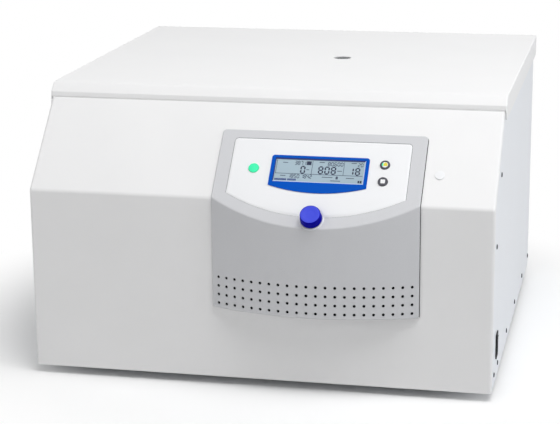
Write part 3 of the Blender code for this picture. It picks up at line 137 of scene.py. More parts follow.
def streak_coordinates(tree, place, streaks):
    """Where the grain is read. Brushed metal is drawn out along X, spun metal is read by distance from its axis."""
    if streaks == "brushed":
        return add_node(tree, "Mapping", {"Vector": place, "Scale": (0.02, 1, 1)})
    if streaks == "spun":
        moved = add_node(tree, "VectorMath", {0: place, 1: (chamber_x, chamber_y, 0)}, operation="SUBTRACT")
        flat = add_node(tree, "VectorMath", {0: moved, 1: (1, 1, 0)}, operation="MULTIPLY")
        reach = add_node(tree, "VectorMath", {0: flat}, operation="LENGTH").outputs["Value"]
        height = add_node(tree, "SeparateXYZ", {"Vector": moved}).outputs["Z"]
        return add_node(tree, "CombineXYZ", {"X": reach, "Y": height})
    return place


def finish(name, colour, roughness, metallic, grain, relief, shade, wear, clouds=9, cells=0, streaks=None, **sockets):
    """A surface whose colour, gloss and fine relief all vary a little.

    Fine noise at the grain's scale raises the relief, in tenths of a millimetre. Broad noise shades
    the colour by the share in shade and the roughness by wear. With cells, a Voronoi pattern adds
    flat facets, as on zinc or a textured moulding.
    """
    material = bpy.data.materials.new(name)
    material.use_nodes = True
    tree = material.node_tree
    place = add_node(tree, "TexCoord").outputs["Object"]
    along = streak_coordinates(tree, place, streaks)
    fine = add_node(tree, "TexNoise", {"Vector": along, "Scale": grain, "Detail": 3.0})
    broad = add_node(tree, "TexNoise", {"Vector": place, "Scale": clouds, "Detail": 4.0})
    if cells:
        facets = add_node(tree, "TexVoronoi", {"Vector": place, "Scale": cells}).outputs["Color"]
        broad = calculated(tree, "ADD", broad, add_node(tree, "SeparateColor", {"Color": facets}))
        broad = calculated(tree, "MULTIPLY", broad, 0.5)
    dark, light = ([min(1, value * share) for value in colour] + [1] for share in (1 - shade, 1 + shade))
    ramp = add_node(tree, "MapRange", {"Value": broad, "From Min": 0.3, "From Max": 0.7})
    tint = add_node(tree, "Mix", {0: ramp, 6: dark, 7: light}, data_type="RGBA").outputs[2]
    mixed = calculated(tree, "MULTIPLY", fine, broad)
    span = {"From Min": 0.1, "From Max": 0.4, "To Min": roughness - wear, "To Max": roughness + wear}
    gloss = add_node(tree, "MapRange", {"Value": mixed, **span})
    bump = add_node(tree, "Bump", {"Height": fine, "Strength": 1.0, "Distance": relief / 10000})
    looks = {"Base Color": tint, "Roughness": gloss, "Normal": bump, "Metallic": metallic}
    looks.update((socket.replace("_", " "), value) for socket, value in sockets.items())
    set_inputs(tree, tree.nodes["Principled BSDF"], looks)
    material.diffuse_color = (*colour, 1)
    materials[name] = material


# Name, colour, roughness, metallic value, grain, relief, shade, wear
finish("white_paint", (0.868, 0.866, 0.868), 0.42, 0, 1400, 0.25, 0.012, 0.05)
finish("side_paint", (0.83, 0.85, 0.885), 0.45, 0, 1400, 0.25, 0.012, 0.05)
finish("galvanised", (0.58, 0.60, 0.62), 0.42, 0.9, 600, 0.1, 0.07, 0.06, cells=120)
finish("bright_steel", (0.74, 0.75, 0.77), 0.27, 1, 2500, 0.1, 0.04, 0.07, streaks="brushed")
finish("chamber_steel", (0.74, 0.75, 0.77), 0.25, 1, 1800, 0.3, 0.04, 0.08, streaks="spun")
finish("screw_steel", (0.055, 0.06, 0.075), 0.40, 0.6, 2500, 0.3, 0.10, 0.10)
finish("dark_steel", (0.035, 0.036, 0.04), 0.38, 0, 1200, 0.4, 0.10, 0.08)
finish("aluminium", (0.77, 0.78, 0.80), 0.36, 0.95, 1600, 0.2, 0.04, 0.07)
finish("copper", (0.85, 0.42, 0.25), 0.33, 1, 1500, 0.2, 0.16, 0.12, clouds=40)
finish("black_rubber", (0.022, 0.022, 0.023), 0.78, 0, 1800, 0.5, 0.15, 0.08)
finish("grey_rubber", (0.26, 0.27, 0.29), 0.66, 0, 1500, 0.3, 0.06, 0.08)
finish("foam", (0.80, 0.73, 0.52), 0.92, 0, 420, 3, 0.10, 0.04)
finish("bezel_grey", (0.625, 0.63, 0.65), 0.46, 0, 1500, 0.6, 0.015, 0.05, cells=1900)
finish("fascia_white", (0.87, 0.875, 0.89), 0.38, 0, 2200, 0.2, 0.01, 0.05)
finish("frame_blue", (0, 0.085, 0.50), 0.34, 0, 2200, 0.15, 0.05, 0.06, Specular_IOR_Level=0.1)
# Painted shade and a painted highlight for the bands round the display's window; the navy also prints the status line
finish("navy_print_and_shade", (0.004, 0.02, 0.16), 0.34, 0, 2200, 0.15, 0.05, 0.05)
finish("painted_highlight_pale", (0.52, 0.62, 0.80), 0.34, 0, 2200, 0.15, 0.03, 0.05)
finish("screen_grey", (0.375, 0.485, 0.555), 0.22, 0, 2600, 0.05, 0.05, 0.04, Specular_IOR_Level=0.4)
finish("figure_dark", (0.012, 0.02, 0.055), 0.35, 0, 2400, 0.05, 0.05, 0.04)
finish("figure_pale", (0.045, 0.065, 0.11), 0.35, 0, 2400, 0.05, 0.05, 0.04)
finish("knob_blue", (0.002, 0.001, 0.33), 0.38, 0, 1800, 0.4, 0.06, 0.06, Specular_IOR_Level=0.03)
# A lighter blue for the knob's top face: painted light
finish("knob_face_painted_highlight_blue", (0.055, 0.075, 0.70), 0.34, 0, 1800, 0.3, 0.04, 0.05, Specular_IOR_Level=0.3)
finish("key_green", (0.05, 0.92, 0.45), 0.36, 0, 2200, 0.2, 0.04, 0.05)
finish("key_dark", (0.07, 0.07, 0.085), 0.40, 0, 2200, 0.2, 0.08, 0.05)
finish("key_yellow", (0.80, 0.68, 0.06), 0.40, 0, 2200, 0.1, 0.04, 0.05)
finish("black_plastic", (0.018, 0.018, 0.02), 0.36, 0, 1700, 0.4, 0.12, 0.07)
finish("switch_black", (0.006, 0.006, 0.008), 0.45, 0, 1700, 0.4, 0.12, 0.07, Specular_IOR_Level=0.12)
# Black that paints the shade inside the vent holes
finish("vent_painted_shade", (0.006, 0.006, 0.007), 0.8, 0, 1700, 0.4, 0.12, 0.07, Specular_IOR_Level=0.1)
finish("board_green", (0.02, 0.17, 0.07), 0.45, 0, 500, 0.3, 0.25, 0.10, cells=400)
finish("glass", (0.30, 0.32, 0.33), 0.10, 0, 2000, 0.05, 0.03, 0.04, Transmission_Weight=0.55)


# Lines and surfaces

def rounded(corners, steps=6):
    """A line through (a, b) or (a, b, radius) corners.

    A corner with a radius becomes an arc tangent to its two sides: its points are the arc's centre
    plus radius times (cos, sin) of evenly spaced angles.
    """
    spots = np.array([corner[:2] for corner in corners], float)
    line = []
    for place, (spot, corner) in enumerate(zip(spots, corners)):
        if len(corner) == 2:
            line.append(spot[None])
            continue
        back, ahead = spots[place - 1] - spot, spots[(place + 1) % len(spots)] - spot
        back /= np.linalg.norm(back)
        ahead /= np.linalg.norm(ahead)
        half = np.arccos(np.clip(back @ ahead, -1, 1)) / 2
        middle = (back + ahead) / np.linalg.norm(back + ahead)
        centre = spot + middle * corner[2] / sin(half)
        start, end = (spot + way * corner[2] / tan(half) - centre for way in (back, ahead))
        first = np.arctan2(start[1], start[0])
        sweep = (np.arctan2(end[1], end[0]) - first + pi) % (2 * pi) - pi
        angles = first + sweep * np.linspace(0, 1, steps + 1)
        line.append(centre + corner[2] * np.stack((np.cos(angles), np.sin(angles)), -1))
    return np.concatenate(line)


def ring_line(corners, steps=6):
    """A closed section, for a ring: the line comes back to its first point."""
    line = rounded(corners, steps)
    return np.vstack((line, line[:1]))


def circle_line(x, y, radius, sides=64):
    angles = 2 * pi * np.arange(sides) / sides
    return np.stack((x + radius * np.cos(angles), y + radius * np.sin(angles)), -1)


def rectangle_line(low_x, low_y, high_x, high_y, radius=0.0):
    corners = [(low_x, low_y), (high_x, low_y), (high_x, high_y), (low_x, high_y)]
    return rounded([(*corner, radius) for corner in corners] if radius else corners)


def upper_line(half, side_low, top, corner, steps=12):
    """The upper edge of an even outline, from right to left, with two rounded corners and without its lower ends."""
    return rounded([(half, side_low), (half, top, corner), (-half, top, corner), (-half, side_low)], steps)[1:-1]


def placed(points, matrix):
    """Points moved by a matrix: its turn times the point, plus its shift."""
    grid = np.array(matrix)
    return points @ grid[:3, :3].T + grid[:3, 3]


def on_slope(x, s, n=0.0):
    return slope @ Matrix.Translation((x, s, n))


def written(bm, mesh):
    """Turns every face outwards and writes the bmesh into the mesh."""
    bmesh.ops.recalc_face_normals(bm, faces=bm.faces)
    bm.to_mesh(mesh)
    bm.free()
    return mesh


def welded(mesh, into=None, flat=0.0, fill=0):
    """The mesh with its doubles merged, flat faces joined up to an angle, and holes of so many sides filled."""
    bm = bmesh.new()
    bm.from_mesh(mesh)
    bmesh.ops.remove_doubles(bm, verts=bm.verts, dist=1e-6)
    if flat:
        bmesh.ops.dissolve_limit(bm, angle_limit=flat, verts=bm.verts, edges=bm.edges)
    if fill:
        bmesh.ops.holes_fill(bm, edges=bm.edges, sides=fill)
    return written(bm, into or mesh)


def grid_mesh(points, around=False, along=False, fill=0):
    """Quads over a grid of points, whose shape is (rows, columns, 3).

    Each quad joins four neighbours. With around, a row's last column meets its first, and with
    along the last row meets the first. Points that coincide, as at a pole, are welded.
    """
    rows, columns = points.shape[:2]
    number = np.arange(rows * columns).reshape(rows, columns)
    if around:
        number = np.hstack((number, number[:, :1]))
    if along:
        number = np.vstack((number, number[:1]))
    quads = np.stack((number[:-1, :-1], number[:-1, 1:], number[1:, 1:], number[1:, :-1]), -1)
    mesh = bpy.data.meshes.new("grid")
    mesh.from_pydata(points.reshape(-1, 3).tolist(), [], quads.reshape(-1, 4).tolist())
    return welded(mesh, fill=fill)


def turned(profile, sides=96, wave=None):
    """A profile of (radius, height) points carried round the Z axis.

    A point is (radius cos a, radius sin a, height). wave gives a factor on the radius at each angle,
    for flutes and lobes.
    """
    angles = 2 * pi * np.arange(sides) / sides
    radius, height = np.asarray(profile, float).T
    factor = np.ones((1, sides)) if wave is None else wave(angles)[None]
    reach = radius[:, None] * factor
    high = np.broadcast_to(height[:, None], reach.shape)
    return np.stack((reach * np.cos(angles), reach * np.sin(angles), high), -1)


def lathe(profile, matrix, sides=96, wave=None):
    """A turned surface as a mesh in its place."""
    return grid_mesh(placed(turned(profile, sides, wave), matrix), around=True)


def cylinder_mesh(radius, low, high, matrix, sides):
    return lathe([(0, low), (radius, low), (radius, high), (0, high)], matrix, sides)


def prism(outline, low, high, matrix=Matrix.Identity(4)):
    """A flat outline drawn out from low to high along Z, with both ends closed."""
    ends = [np.column_stack((outline, np.full(len(outline), level))) for level in (low, high)]
    return grid_mesh(placed(np.stack(ends), matrix), around=True, fill=len(outline))


def box_mesh(low, high, matrix=Matrix.Identity(4)):
    """A box in four rings of four points: the middle below, the lower corners, the upper ones, the middle above."""
    corners = np.array([(-0.5, -0.5), (0.5, -0.5), (0.5, 0.5), (-0.5, 0.5)])
    rings = [
        np.column_stack((corners * spread, np.full(4, level)))
        for spread, level in ((0, -0.5), (1, -0.5), (1, 0.5), (0, 0.5))
    ]
    low, high = np.array(low), np.array(high)
    return grid_mesh(placed((low + high) / 2 + np.stack(rings) * (high - low), matrix), around=True)


def tube(path, radius, across, sides=20):
    """A round tube along a path, closed at both ends.

    At each point the ring is centre + radius (u cos a + v sin a), with u the given direction made
    square to the path and v square to both. The ends are rings of no radius.
    """
    path = np.vstack((path[:1], path, path[-1:]))
    radii = np.full(len(path), radius)
    radii[[0, -1]] = 0
    heading = np.gradient(path[1:-1], axis=0)
    heading = np.vstack((heading[:1], heading, heading[-1:]))
    heading /= np.linalg.norm(heading, axis=1)[:, None]
    v = np.cross(heading, np.broadcast_to(across, path.shape))
    v /= np.linalg.norm(v, axis=1)[:, None]
    u = np.cross(v, heading)
    angles = 2 * pi * np.arange(sides) / sides
    ring = u[:, None] * np.cos(angles)[:, None] + v[:, None] * np.sin(angles)[:, None]
    return grid_mesh(path[:, None] + radii[:, None, None] * ring, around=True)


# Meshes made from meshes, and pieces

def linked(name, data):
    made = bpy.data.objects.new(name, data)
    bpy.context.scene.collection.objects.link(made)
    return made


def evaluated(holder):
    """The holder's final mesh, with the holder removed."""
    graph = bpy.context.evaluated_depsgraph_get()
    made = bpy.data.meshes.new_from_object(holder.evaluated_get(graph))
    bpy.data.objects.remove(holder)
    return made


def applied(mesh, *modifiers):
    """The mesh with modifiers applied. Each is a type and its settings."""
    holder = linked("holder", mesh)
    for kind, settings in modifiers:
        modifier = holder.modifiers.new(kind, kind)
        for key, value in settings.items():
            setattr(modifier, key, value)
    return evaluated(holder)


def bevel(width, segments, angle=50):
    return "BEVEL", {"width": width, "segments": segments, "limit_method": "ANGLE", "angle_limit": radians(angle)}


def wall(thickness):
    return "SOLIDIFY", {"thickness": thickness, "offset": -1, "use_even_offset": True}


def boolean(mesh, other, operation="DIFFERENCE"):
    """Two closed meshes, the first less the second or joined with it, by an exact Boolean."""
    holder = linked("other", other)
    made = applied(mesh, ("BOOLEAN", {"operation": operation, "solver": "EXACT", "object": holder}))
    bpy.data.objects.remove(holder)
    return made


def united(first, *others):
    for other in others:
        first = boolean(first, other, "UNION")
    return first


def merged(meshes):
    """Several meshes as one, not joined to each other."""
    bm = bmesh.new()
    for mesh in meshes:
        bm.from_mesh(mesh)
    whole = bpy.data.meshes.new("merged")
    bm.to_mesh(whole)
    bm.free()
    return whole


def flat_plate(outline, holes, thickness, edge, matrix):
    """A plate with holes from flat outlines: filled between them, given its thickness and eased edges."""
    curve = bpy.data.curves.new("plate", "CURVE")
    curve.dimensions, curve.fill_mode = "2D", "BOTH"
    for line in [outline] + holes:
        spline = curve.splines.new("POLY")
        spline.points.add(len(line) - 1)
        flat = np.zeros((len(line), 4))
        flat[:, :2] = line
        flat[:, 3] = 1
        spline.points.foreach_set("co", flat.ravel())
        spline.use_cyclic_u = True
    curve.extrude, curve.offset = thickness / 2 - edge, -edge
    curve.bevel_depth, curve.bevel_resolution = edge, 2
    mesh = evaluated(linked("plate", curve))
    mesh.transform(matrix @ Matrix.Translation((0, 0, thickness / 2)))
    return welded(mesh)


def add_piece(name, mesh, look, node=None, body=None, sharp=35, weigh=False):
    """Puts a finished mesh into the scene: its material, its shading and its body.

    With node, it stands for that node and rides on its body, or else on the given body or the root.
    """
    mesh.name = name
    piece = linked(name, mesh)
    mesh.materials.clear()
    mesh.materials.append(materials[look])
    if sharp:
        mesh.shade_smooth()
        mesh.set_sharp_from_angle(angle=radians(sharp))
    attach(piece, node_body[node] if node else body or "root")
    if node:
        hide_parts(node)
    if weigh:
        piece.modifiers.new("weighted", "WEIGHTED_NORMAL").keep_sharp = True


def add_turned(name, profile, matrix, look, node=None, body=None, sides=96, wave=None):
    add_piece(name, lathe(rounded(profile), matrix, sides, wave), look, node, body)


def eased(node, width, look):
    """A CAD node as a welded copy with its sharp edges rounded to a width. It stands for the node."""
    mesh = welded(frame["nodes"][node].data, bpy.data.meshes.new(node), flat=radians(0.5))
    add_piece(f"{node}_eased", applied(mesh, bevel(width, 3)), look, node, sharp=48, weigh=True)


# Housing

def display_opening(border, low_n, high_n):
    """A cutter over the display's window and a border round it, between two distances from the slope."""
    low = (frame_x - screen_half - border, screen_low - border, low_n)
    return box_mesh(low, (frame_x + screen_half + border, screen_high + border, high_n), slope)


def front_sheet():
    """The front panel as a section carried up the side line.

    Across, the section runs round the web, two rounded corners and their short returns. Along, each
    point follows the front's line at its own depth: up the face, round the bend by an arc about one
    centre, and up the slope.
    """
    corner, back, top_seam, cut = 0.004, 0.005, 0.0015, 0.01
    half, inner = half_width, half_width - sheet
    outside = rounded([(-half, back), (-half, 0, corner), (half, 0, corner), (half, back)])
    section = np.vstack((outside, [(inner, back), (inner, sheet), (-inner, sheet), (-inner, back)]))
    angles = pi - bend_turn * np.linspace(0, 1, 25)
    depth = section[:, 1:]
    end = (slope_run - top_seam) / cos(slope_angle)
    arc_y = front_y + front_bend + (front_bend - depth) * np.cos(angles)
    arc_z = bend_low_z + (front_bend - depth) * np.sin(angles)
    top_y = front_y + (end + depth) * sin(slope_angle)
    top_z = break_z + (end - depth) * cos(slope_angle)
    y = np.hstack((front_y + depth, arc_y, top_y))
    z = np.hstack((np.full_like(depth, base_z), arc_z, top_z))
    points = np.stack((np.broadcast_to(section[:, :1], y.shape), y, z), -1).transpose(1, 0, 2)
    mesh = grid_mesh(points, around=True, fill=len(section))
    plug_hole = cylinder_mesh(0.0053, -cut, cut, on_slope(plug_x, plug_s), 48)
    windows = [display_opening(border=0.0025, low_n=-cut, high_n=cut), plug_hole]
    air_half, air_pitch = 0.024, 0.060
    low_z = vent_first_z - vent_pitch_z / 2
    for number in range(4):
        middle = bezel_x + (number - 1.5) * air_pitch
        low = (middle - air_half, front_y - cut, low_z)
        windows.append(box_mesh(low, (middle + air_half, front_y + cut, low_z + vent_rows * vent_pitch_z)))
    return boolean(mesh, merged(windows))


add_piece("front_sheet", front_sheet(), "white_paint", "front_panel", sharp=30, weigh=True)


def lid_shell():
    """The lid's cover: a side line carried across, with its edges rounded and a wall inside.

    The line runs up the lip, up the slant above it, along the top, round the rear edge and down the
    rear skirt. The two ends are flat, and go down as side skirts.
    """
    lip_top = (slope_top_y + 0.0012, slope_top_z + 0.0062, 0.0025)
    slant_top = (slope_top_y + 0.0140, lid_top, 0.0130)
    line = rounded(
        [(slope_top_y, slope_top_z), lip_top, slant_top, (lid_back_y, lid_top, 0.0025), (lid_back_y, skirt_z)], 12
    )
    bm = bmesh.new()
    sides = []
    for x in (-lid_half, lid_half):
        column = [bm.verts.new((x, y, z)) for y, z in line]
        bm.faces.new([bm.verts.new((x, slope_top_y, skirt_z))] + column)
        sides.append(column)
    left, right = sides
    for place in range(len(left) - 1):
        bm.faces.new((left[place], right[place], right[place + 1], left[place + 1]))
    mesh = applied(written(bm, bpy.data.meshes.new("lid")), bevel(0.0022, 4), wall(sheet))
    window_hole = cylinder_mesh(0.0133, 0.37, 0.42, chamber, 96)
    return boolean(mesh, window_hole)


add_piece("lid_shell", lid_shell(), "white_paint", "lid_cover", sharp=30, weigh=True)
strip_end, strip_low, strip_high = half_width - 0.0002, 0.3782, 0.38175
strip = box_mesh((-strip_end, slope_top_y + 0.0001, strip_low), (strip_end, slope_top_y + 0.0100, strip_high))
add_piece("deck_front_strip", applied(strip, bevel(0.0003, 2)), "white_paint")

pane_z, pane_top = (corner.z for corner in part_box("lid_window"))
pane = [
    (0, pane_z), (0.020, pane_z), (0.020, pane_z + 0.002), (0.013, pane_z + 0.002),
    (0.013, pane_top - 0.0006, 0.0005), (0.0105, pane_top - 0.0022, 0.0008), (0, pane_top - 0.0022),
]
add_turned("lid_window_glass", pane, chamber, "glass", "lid_window")
for node in ("left_side_panel", "right_side_panel", "rear_panel"):
    eased(node, 0.0004, "side_paint")
eased("base_plate", 0.0006, "galvanised")
eased("top_deck", 0.0004, "white_paint")

foot = [
    (0, 0), (0.0165, 0, 0.0015), (0.0175, 0.004, 0.001), (0.0185, 0.0055, 0.001), (0.020, 0.0117, 0.0006),
    (0, 0.0117),
]
for name in ("foot_front_left", "foot_front_right", "foot_rear_left", "foot_rear_right"):
    middle = middle_of(name)
    add_turned(f"{name}_rubber", foot, Matrix.Translation((middle.x, middle.y, 0)), "black_rubber", name)


def screw_mesh(matrix, radius=0.0034, height=0.0013):
    """A round screw head with a six-lobed socket: rings over the crown, and a socket whose radius waves."""
    crown = rounded([(radius, 0), (radius, height, height * 0.6), (0, height)])[:-1]
    lobes = [(0.0015, height), (0.0014, height * 0.25), (0, height * 0.2)]
    lobes = turned(lobes, 36, lambda a: 1 + 0.13 * np.cos(6 * a))
    rings = np.concatenate((turned([(0, 0)], 36), turned(crown, 36), lobes))
    return grid_mesh(placed(rings, matrix), around=True)


def screw_piece(name, places):
    """Screws at (place, axis and angle that lay it on its panel, turn about itself)."""
    heads = []
    for place, axis, angle, turn in places:
        face = Matrix.Translation(place) @ Matrix.Rotation(angle, 4, axis)
        heads.append(screw_mesh(face @ Matrix.Rotation(turn, 4, "Z")))
    add_piece(name, merged(heads), "screw_steel")


# Depth behind the face and height of each side screw
side_places = [(depth, 0.030) for depth in (0.028, 0.080, 0.223, 0.366, 0.509, 0.630)]
side_places += [(0.029, 0.212), (0.078, 0.300)]
for side, name in ((-1, "left"), (1, "right")):
    places = [((side * half_width, front_y + depth, z), "Y", side * pi / 2, depth * 40) for depth, z in side_places]
    screw_piece(f"side_screws_{name}", places)
places = [((x, back_y, z), "X", -pi / 2, x * 9) for x in (-0.31, -0.10, 0.10, 0.31) for z in (0.030, 0.335)]
screw_piece("rear_screws", places)


# Control moulding

def bezel_skin():
    """The moulding's outer skin, open towards the panel.

    Below the crease it is an upright cylinder about the bulge's axis: y is the axis's y less the
    root of radius squared less x squared. Above, it is a plane held proud of the slope. The crease
    is where the two meet. Walls drop from its outline to the panel.
    """
    reach = np.arcsin(bezel_half_width / bezel_radius)
    angles = np.linspace(-reach, reach, 61)
    x = bezel_x + bezel_radius * np.sin(angles)
    y = bezel_axis_y - bezel_radius * np.cos(angles)
    crease = break_z + (bezel_proud + (y - front_y) * sin(slope_angle)) / cos(slope_angle)
    bm = bmesh.new()
    low, high = ([bm.verts.new(point) for point in zip(x, y, z)] for z in (np.full_like(x, bezel_low_z), crease))
    for place in range(len(low) - 1):
        bm.faces.new((low[place], low[place + 1], high[place + 1], high[place]))
    top_line = upper_line(bezel_half_width, 0.05, bezel_top, bezel_corner, 14)
    top = [bm.verts.new(slope @ Vector((bezel_x + a, s, bezel_proud))) for a, s in top_line]
    outline = [high[-1], *top, high[0]]
    bm.faces.new(high[::-1][1:-1] + [high[0]] + top[::-1] + [high[-1]])
    panel = [bm.verts.new(slope @ Vector((vert.co.x, s, seam))) for vert, s in zip(top, top_line[:, 1])]
    right, left = (
        [bm.verts.new((vert.co.x, front_y - seam, z)) for z in (break_z, bezel_low_z)] for vert in (high[-1], high[0])
    )
    for place in range(1, len(outline) - 2):
        bm.faces.new((outline[place], outline[place + 1], panel[place], panel[place - 1]))
    bm.faces.new((low[-1], high[-1], top[0], panel[0], *right))
    bm.faces.new((high[0], low[0], *left[::-1], panel[-1], top[-1]))
    bm.faces.new(low + [right[1], left[1]])
    return written(bm, bpy.data.meshes.new("bezel_skin"))


def vent_place(column, row):
    """A vent's place on the bulge, with Z pointing into the moulding."""
    angle = ((column - (vent_columns - 1) / 2) * vent_pitch_x + vent_shift) / bezel_radius
    x, y = bezel_x + bezel_radius * sin(angle), bezel_axis_y - bezel_radius * cos(angle)
    spot = Matrix.Translation((x, y, vent_first_z + row * vent_pitch_z))
    return spot @ Matrix.Rotation(angle, 4, "Z") @ Matrix.Rotation(-pi / 2, 4, "X")


vent_places = [vent_place(column, row) for column in range(vent_columns) for row in range(vent_rows)]


def control_moulding():
    """The skin with soft edges, a wall behind it, and its vents, display window and spindle hole."""
    mesh = applied(bezel_skin(), bevel(0.0016, 4, 25), wall(bezel_wall - 0.0005))
    cutters = [cylinder_mesh(vent_radius, -0.002, 0.006, place, 20) for place in vent_places]
    spindle_hole = cylinder_mesh(0.0033, 0, 0.02, on_slope(bezel_x, knob_s), 32)
    return boolean(mesh, merged(cutters + [display_opening(window_border, 0, 0.02), spindle_hole]))


add_piece("control_moulding", control_moulding(), "bezel_grey", "control_bezel", sharp=32, weigh=True)


def vent_shade_mat():
    """A black mat behind the vents, painted shade that keeps the holes dark, on the moulding's own cylinder, as a
    closed band of even thickness.
    """
    half, near, far = 0.1385, 0.0029, 0.0041
    reach = np.arcsin(half / bezel_radius)
    angles = np.linspace(-reach, reach, 41)
    low, high = vent_first_z - 0.007, vent_first_z + vent_rows * vent_pitch_z - 0.005
    rows = []
    for inward, level in ((near, low), (far, low), (far, high), (near, high)):
        radius = bezel_radius - inward
        x, y = bezel_x + radius * np.sin(angles), bezel_axis_y - radius * np.cos(angles)
        rows.append(np.stack((x, y, np.full_like(x, level)), -1))
    return grid_mesh(np.stack(rows), along=True, fill=4)


add_piece("vent_shade_mat", vent_shade_mat(), "vent_painted_shade")
# Black plugs just inside the vent holes: painted shade
shade_plugs = [cylinder_mesh(vent_radius - 0.00003, 0.0006, 0.0016, place, 20) for place in vent_places]
add_piece("vent_shade_plugs", merged(shade_plugs), "vent_painted_shade", sharp=30)

seal_inset, seal_width, shadow_strip_width, seal_low_n = 0.0012, 0.003, 0.0008, 0.00005


def seal_frame(low, high, place, shows=False):
    """A flat black frame under the moulding's rim. The upper one also reaches out beside it at the right, where it is
    painted shade along the moulding's side.
    """
    half = bezel_half_width - seal_inset
    inner = half - seal_width
    outside = rectangle_line(-half, low + seal_inset, half, high - seal_inset, 0.0035)
    if shows:
        out, top = bezel_half_width + shadow_strip_width, high - 0.0002
        corner = [(half, low + seal_inset), (out, 0.085), (out, top, 0.0058), (half - 0.010, top)]
        corner.append((half - 0.016, high - seal_inset))
        outside = np.concatenate((outside[:6], rounded(corner), outside[-7:]))
    inside = rectangle_line(-inner, low + seal_inset + seal_width, inner, high - seal_inset - seal_width)
    return flat_plate(outside, [inside], seam - 0.0001, 0.0001, place @ Matrix.Translation((0, 0, seal_low_n)))


def seal_shadow_strip():
    """The seal's right edge, a black strip beside the moulding that is painted shade of the moulding's side wall: up
    the face, round the bend and up the slope.

    Its edge lines lie two distances outside the front. Round the bend that is an arc about the
    bend's centre with the distance added to its radius.
    """
    angles = pi - bend_turn * np.linspace(0, 1, 13)
    high_n, inward = seam - 0.0001, -0.001
    rows = []
    for x, proud in ((inward, seal_low_n), (shadow_strip_width, seal_low_n), (shadow_strip_width, high_n), (inward, high_n)):
        arc_y = front_y + front_bend - (front_bend + proud) * -np.cos(angles)
        arc_z = bend_low_z + (front_bend + proud) * np.sin(angles)
        top = slope @ Vector((0, 0.086, proud))
        y = np.concatenate(([front_y - proud], arc_y, [top.y]))
        z = np.concatenate(([bezel_low_z + 0.0006], arc_z, [top.z]))
        rows.append(np.stack((np.full_like(y, bezel_x + bezel_half_width + x), y, z), -1))
    return grid_mesh(np.stack(rows), along=True, fill=4)


face_place = Matrix.Translation((bezel_x, front_y, 0)) @ Matrix.Rotation(pi / 2, 4, "X")
# The seal under the moulding's rim; its black strip beside the moulding at the right is painted shadow
seal = [
    seal_frame(0.004, bezel_top, on_slope(bezel_x, 0), shows=True),
    seal_frame(bezel_low_z, break_z - 0.0035, face_place),
    seal_shadow_strip(),
]
add_piece("moulding_seal_and_shadow_strip", merged(seal), "black_rubber", sharp=30)


# Fascia and display

def fascia_line(inward, aside=0.0, above=0.0):
    """The fascia's outline, held inward by a distance or widened aside and above.

    Its lower edge is an arc about a point up the slope. The knob's round clearance cuts into it:
    the two circles meet at a height above the knob's centre of (clearance squared less arc radius
    squared plus distance squared) over twice the distance.
    """
    half, top = fascia_half - inward + aside, fascia_top - inward + above
    radius = (fascia_half**2 + fascia_sag**2) / (2 * fascia_sag)
    centre = radius + fascia_low
    radius -= inward
    distance = centre - knob_s
    height = (knob_clearance**2 - radius**2 + distance**2) / (2 * distance)
    meet = np.arcsin(sqrt(knob_clearance**2 - height**2) / radius)
    spread = np.arcsin(half / radius)
    sides = -pi / 2 - np.linspace(spread, meet, 33), -pi / 2 + np.linspace(meet, spread, 33)
    left, right = (np.stack((radius * np.cos(angles), centre + radius * np.sin(angles)), -1) for angles in sides)
    start = np.arcsin(height / knob_clearance)
    over = np.linspace(pi - start, start, 33)[1:-1]
    notch = np.stack((knob_clearance * np.cos(over), knob_s + knob_clearance * np.sin(over)), -1)
    corner = 0.005 - 0.4 * inward + above
    return np.concatenate((left, notch, right, upper_line(half, right[-1, 1], top, corner)))


def fascia_mesh(holes):
    """The plate, whose upper outline is drawn in, so that its border falls away to the moulding."""
    matrix = on_slope(bezel_x, 0, fascia_foot_n)
    outer, inner = fascia_line(0), fascia_line(0.003)
    mesh = flat_plate(outer, holes, fascia_high_n - fascia_foot_n, 0, matrix)
    back = matrix.inverted()
    for vert in mesh.vertices:
        spot = back @ vert.co
        reach = np.hypot(outer[:, 0] - spot.x, outer[:, 1] - spot.y)
        place = reach.argmin()
        if spot.z > 0.0006 and reach[place] < 1e-5:
            vert.co = matrix @ Vector((*inner[place], spot.z))
    return mesh


def surround_line(half, top, side_low, low, corner):
    """Outline with two round top corners and a bottom edge that is one arc through its lowest point."""
    sag = side_low - low
    radius = (half**2 + sag**2) / (2 * sag)
    angles = -pi / 2 + np.arcsin(half / radius) * np.linspace(-1, 1, 65)
    bottom = np.stack((radius * np.cos(angles), low + radius + radius * np.sin(angles)), -1)
    return np.concatenate((bottom, upper_line(half, side_low, top, corner)))


shift, reach = frame_x - bezel_x, screen_half + window_border
opening = rectangle_line(shift - reach, screen_low - window_border, shift + reach, screen_high + window_border)
key_gap = 0.0003
fascia_holes = [opening] + [circle_line(x - bezel_x, s, radius + key_gap) for x, s, radius in keys.values()]
add_piece("fascia_plate", fascia_mesh(fascia_holes), "fascia_white", "fascia", weigh=True)
bed = flat_plate(fascia_line(0, 0.0005, 0.0008), fascia_holes, 0.0011, 0, on_slope(bezel_x, 0, bezel_proud - 0.001))
add_piece("fascia_bed", bed, "key_dark", sharp=30)

rim, brow = 0.0012, 0.0020
left, right, low, high = -screen_half, screen_half, screen_low, screen_high
low_left, low_right = (left - rim, low - rim), (right + rim, low - rim)
high_left, high_right = (left - rim, high + brow), (right + rim, high + brow)
surround_place = on_slope(frame_x, 0, fascia_high_n + gap)
surround_hole = rectangle_line(*low_left, *high_right)
surround_outline = surround_line(half=0.0678, top=0.069, side_low=0.0208, low=0.0103, corner=0.004)
surround = flat_plate(surround_outline, [surround_hole], 0.0008, 0.0002, surround_place)
add_piece("display_surround", surround, "frame_blue", "display_frame", weigh=True)
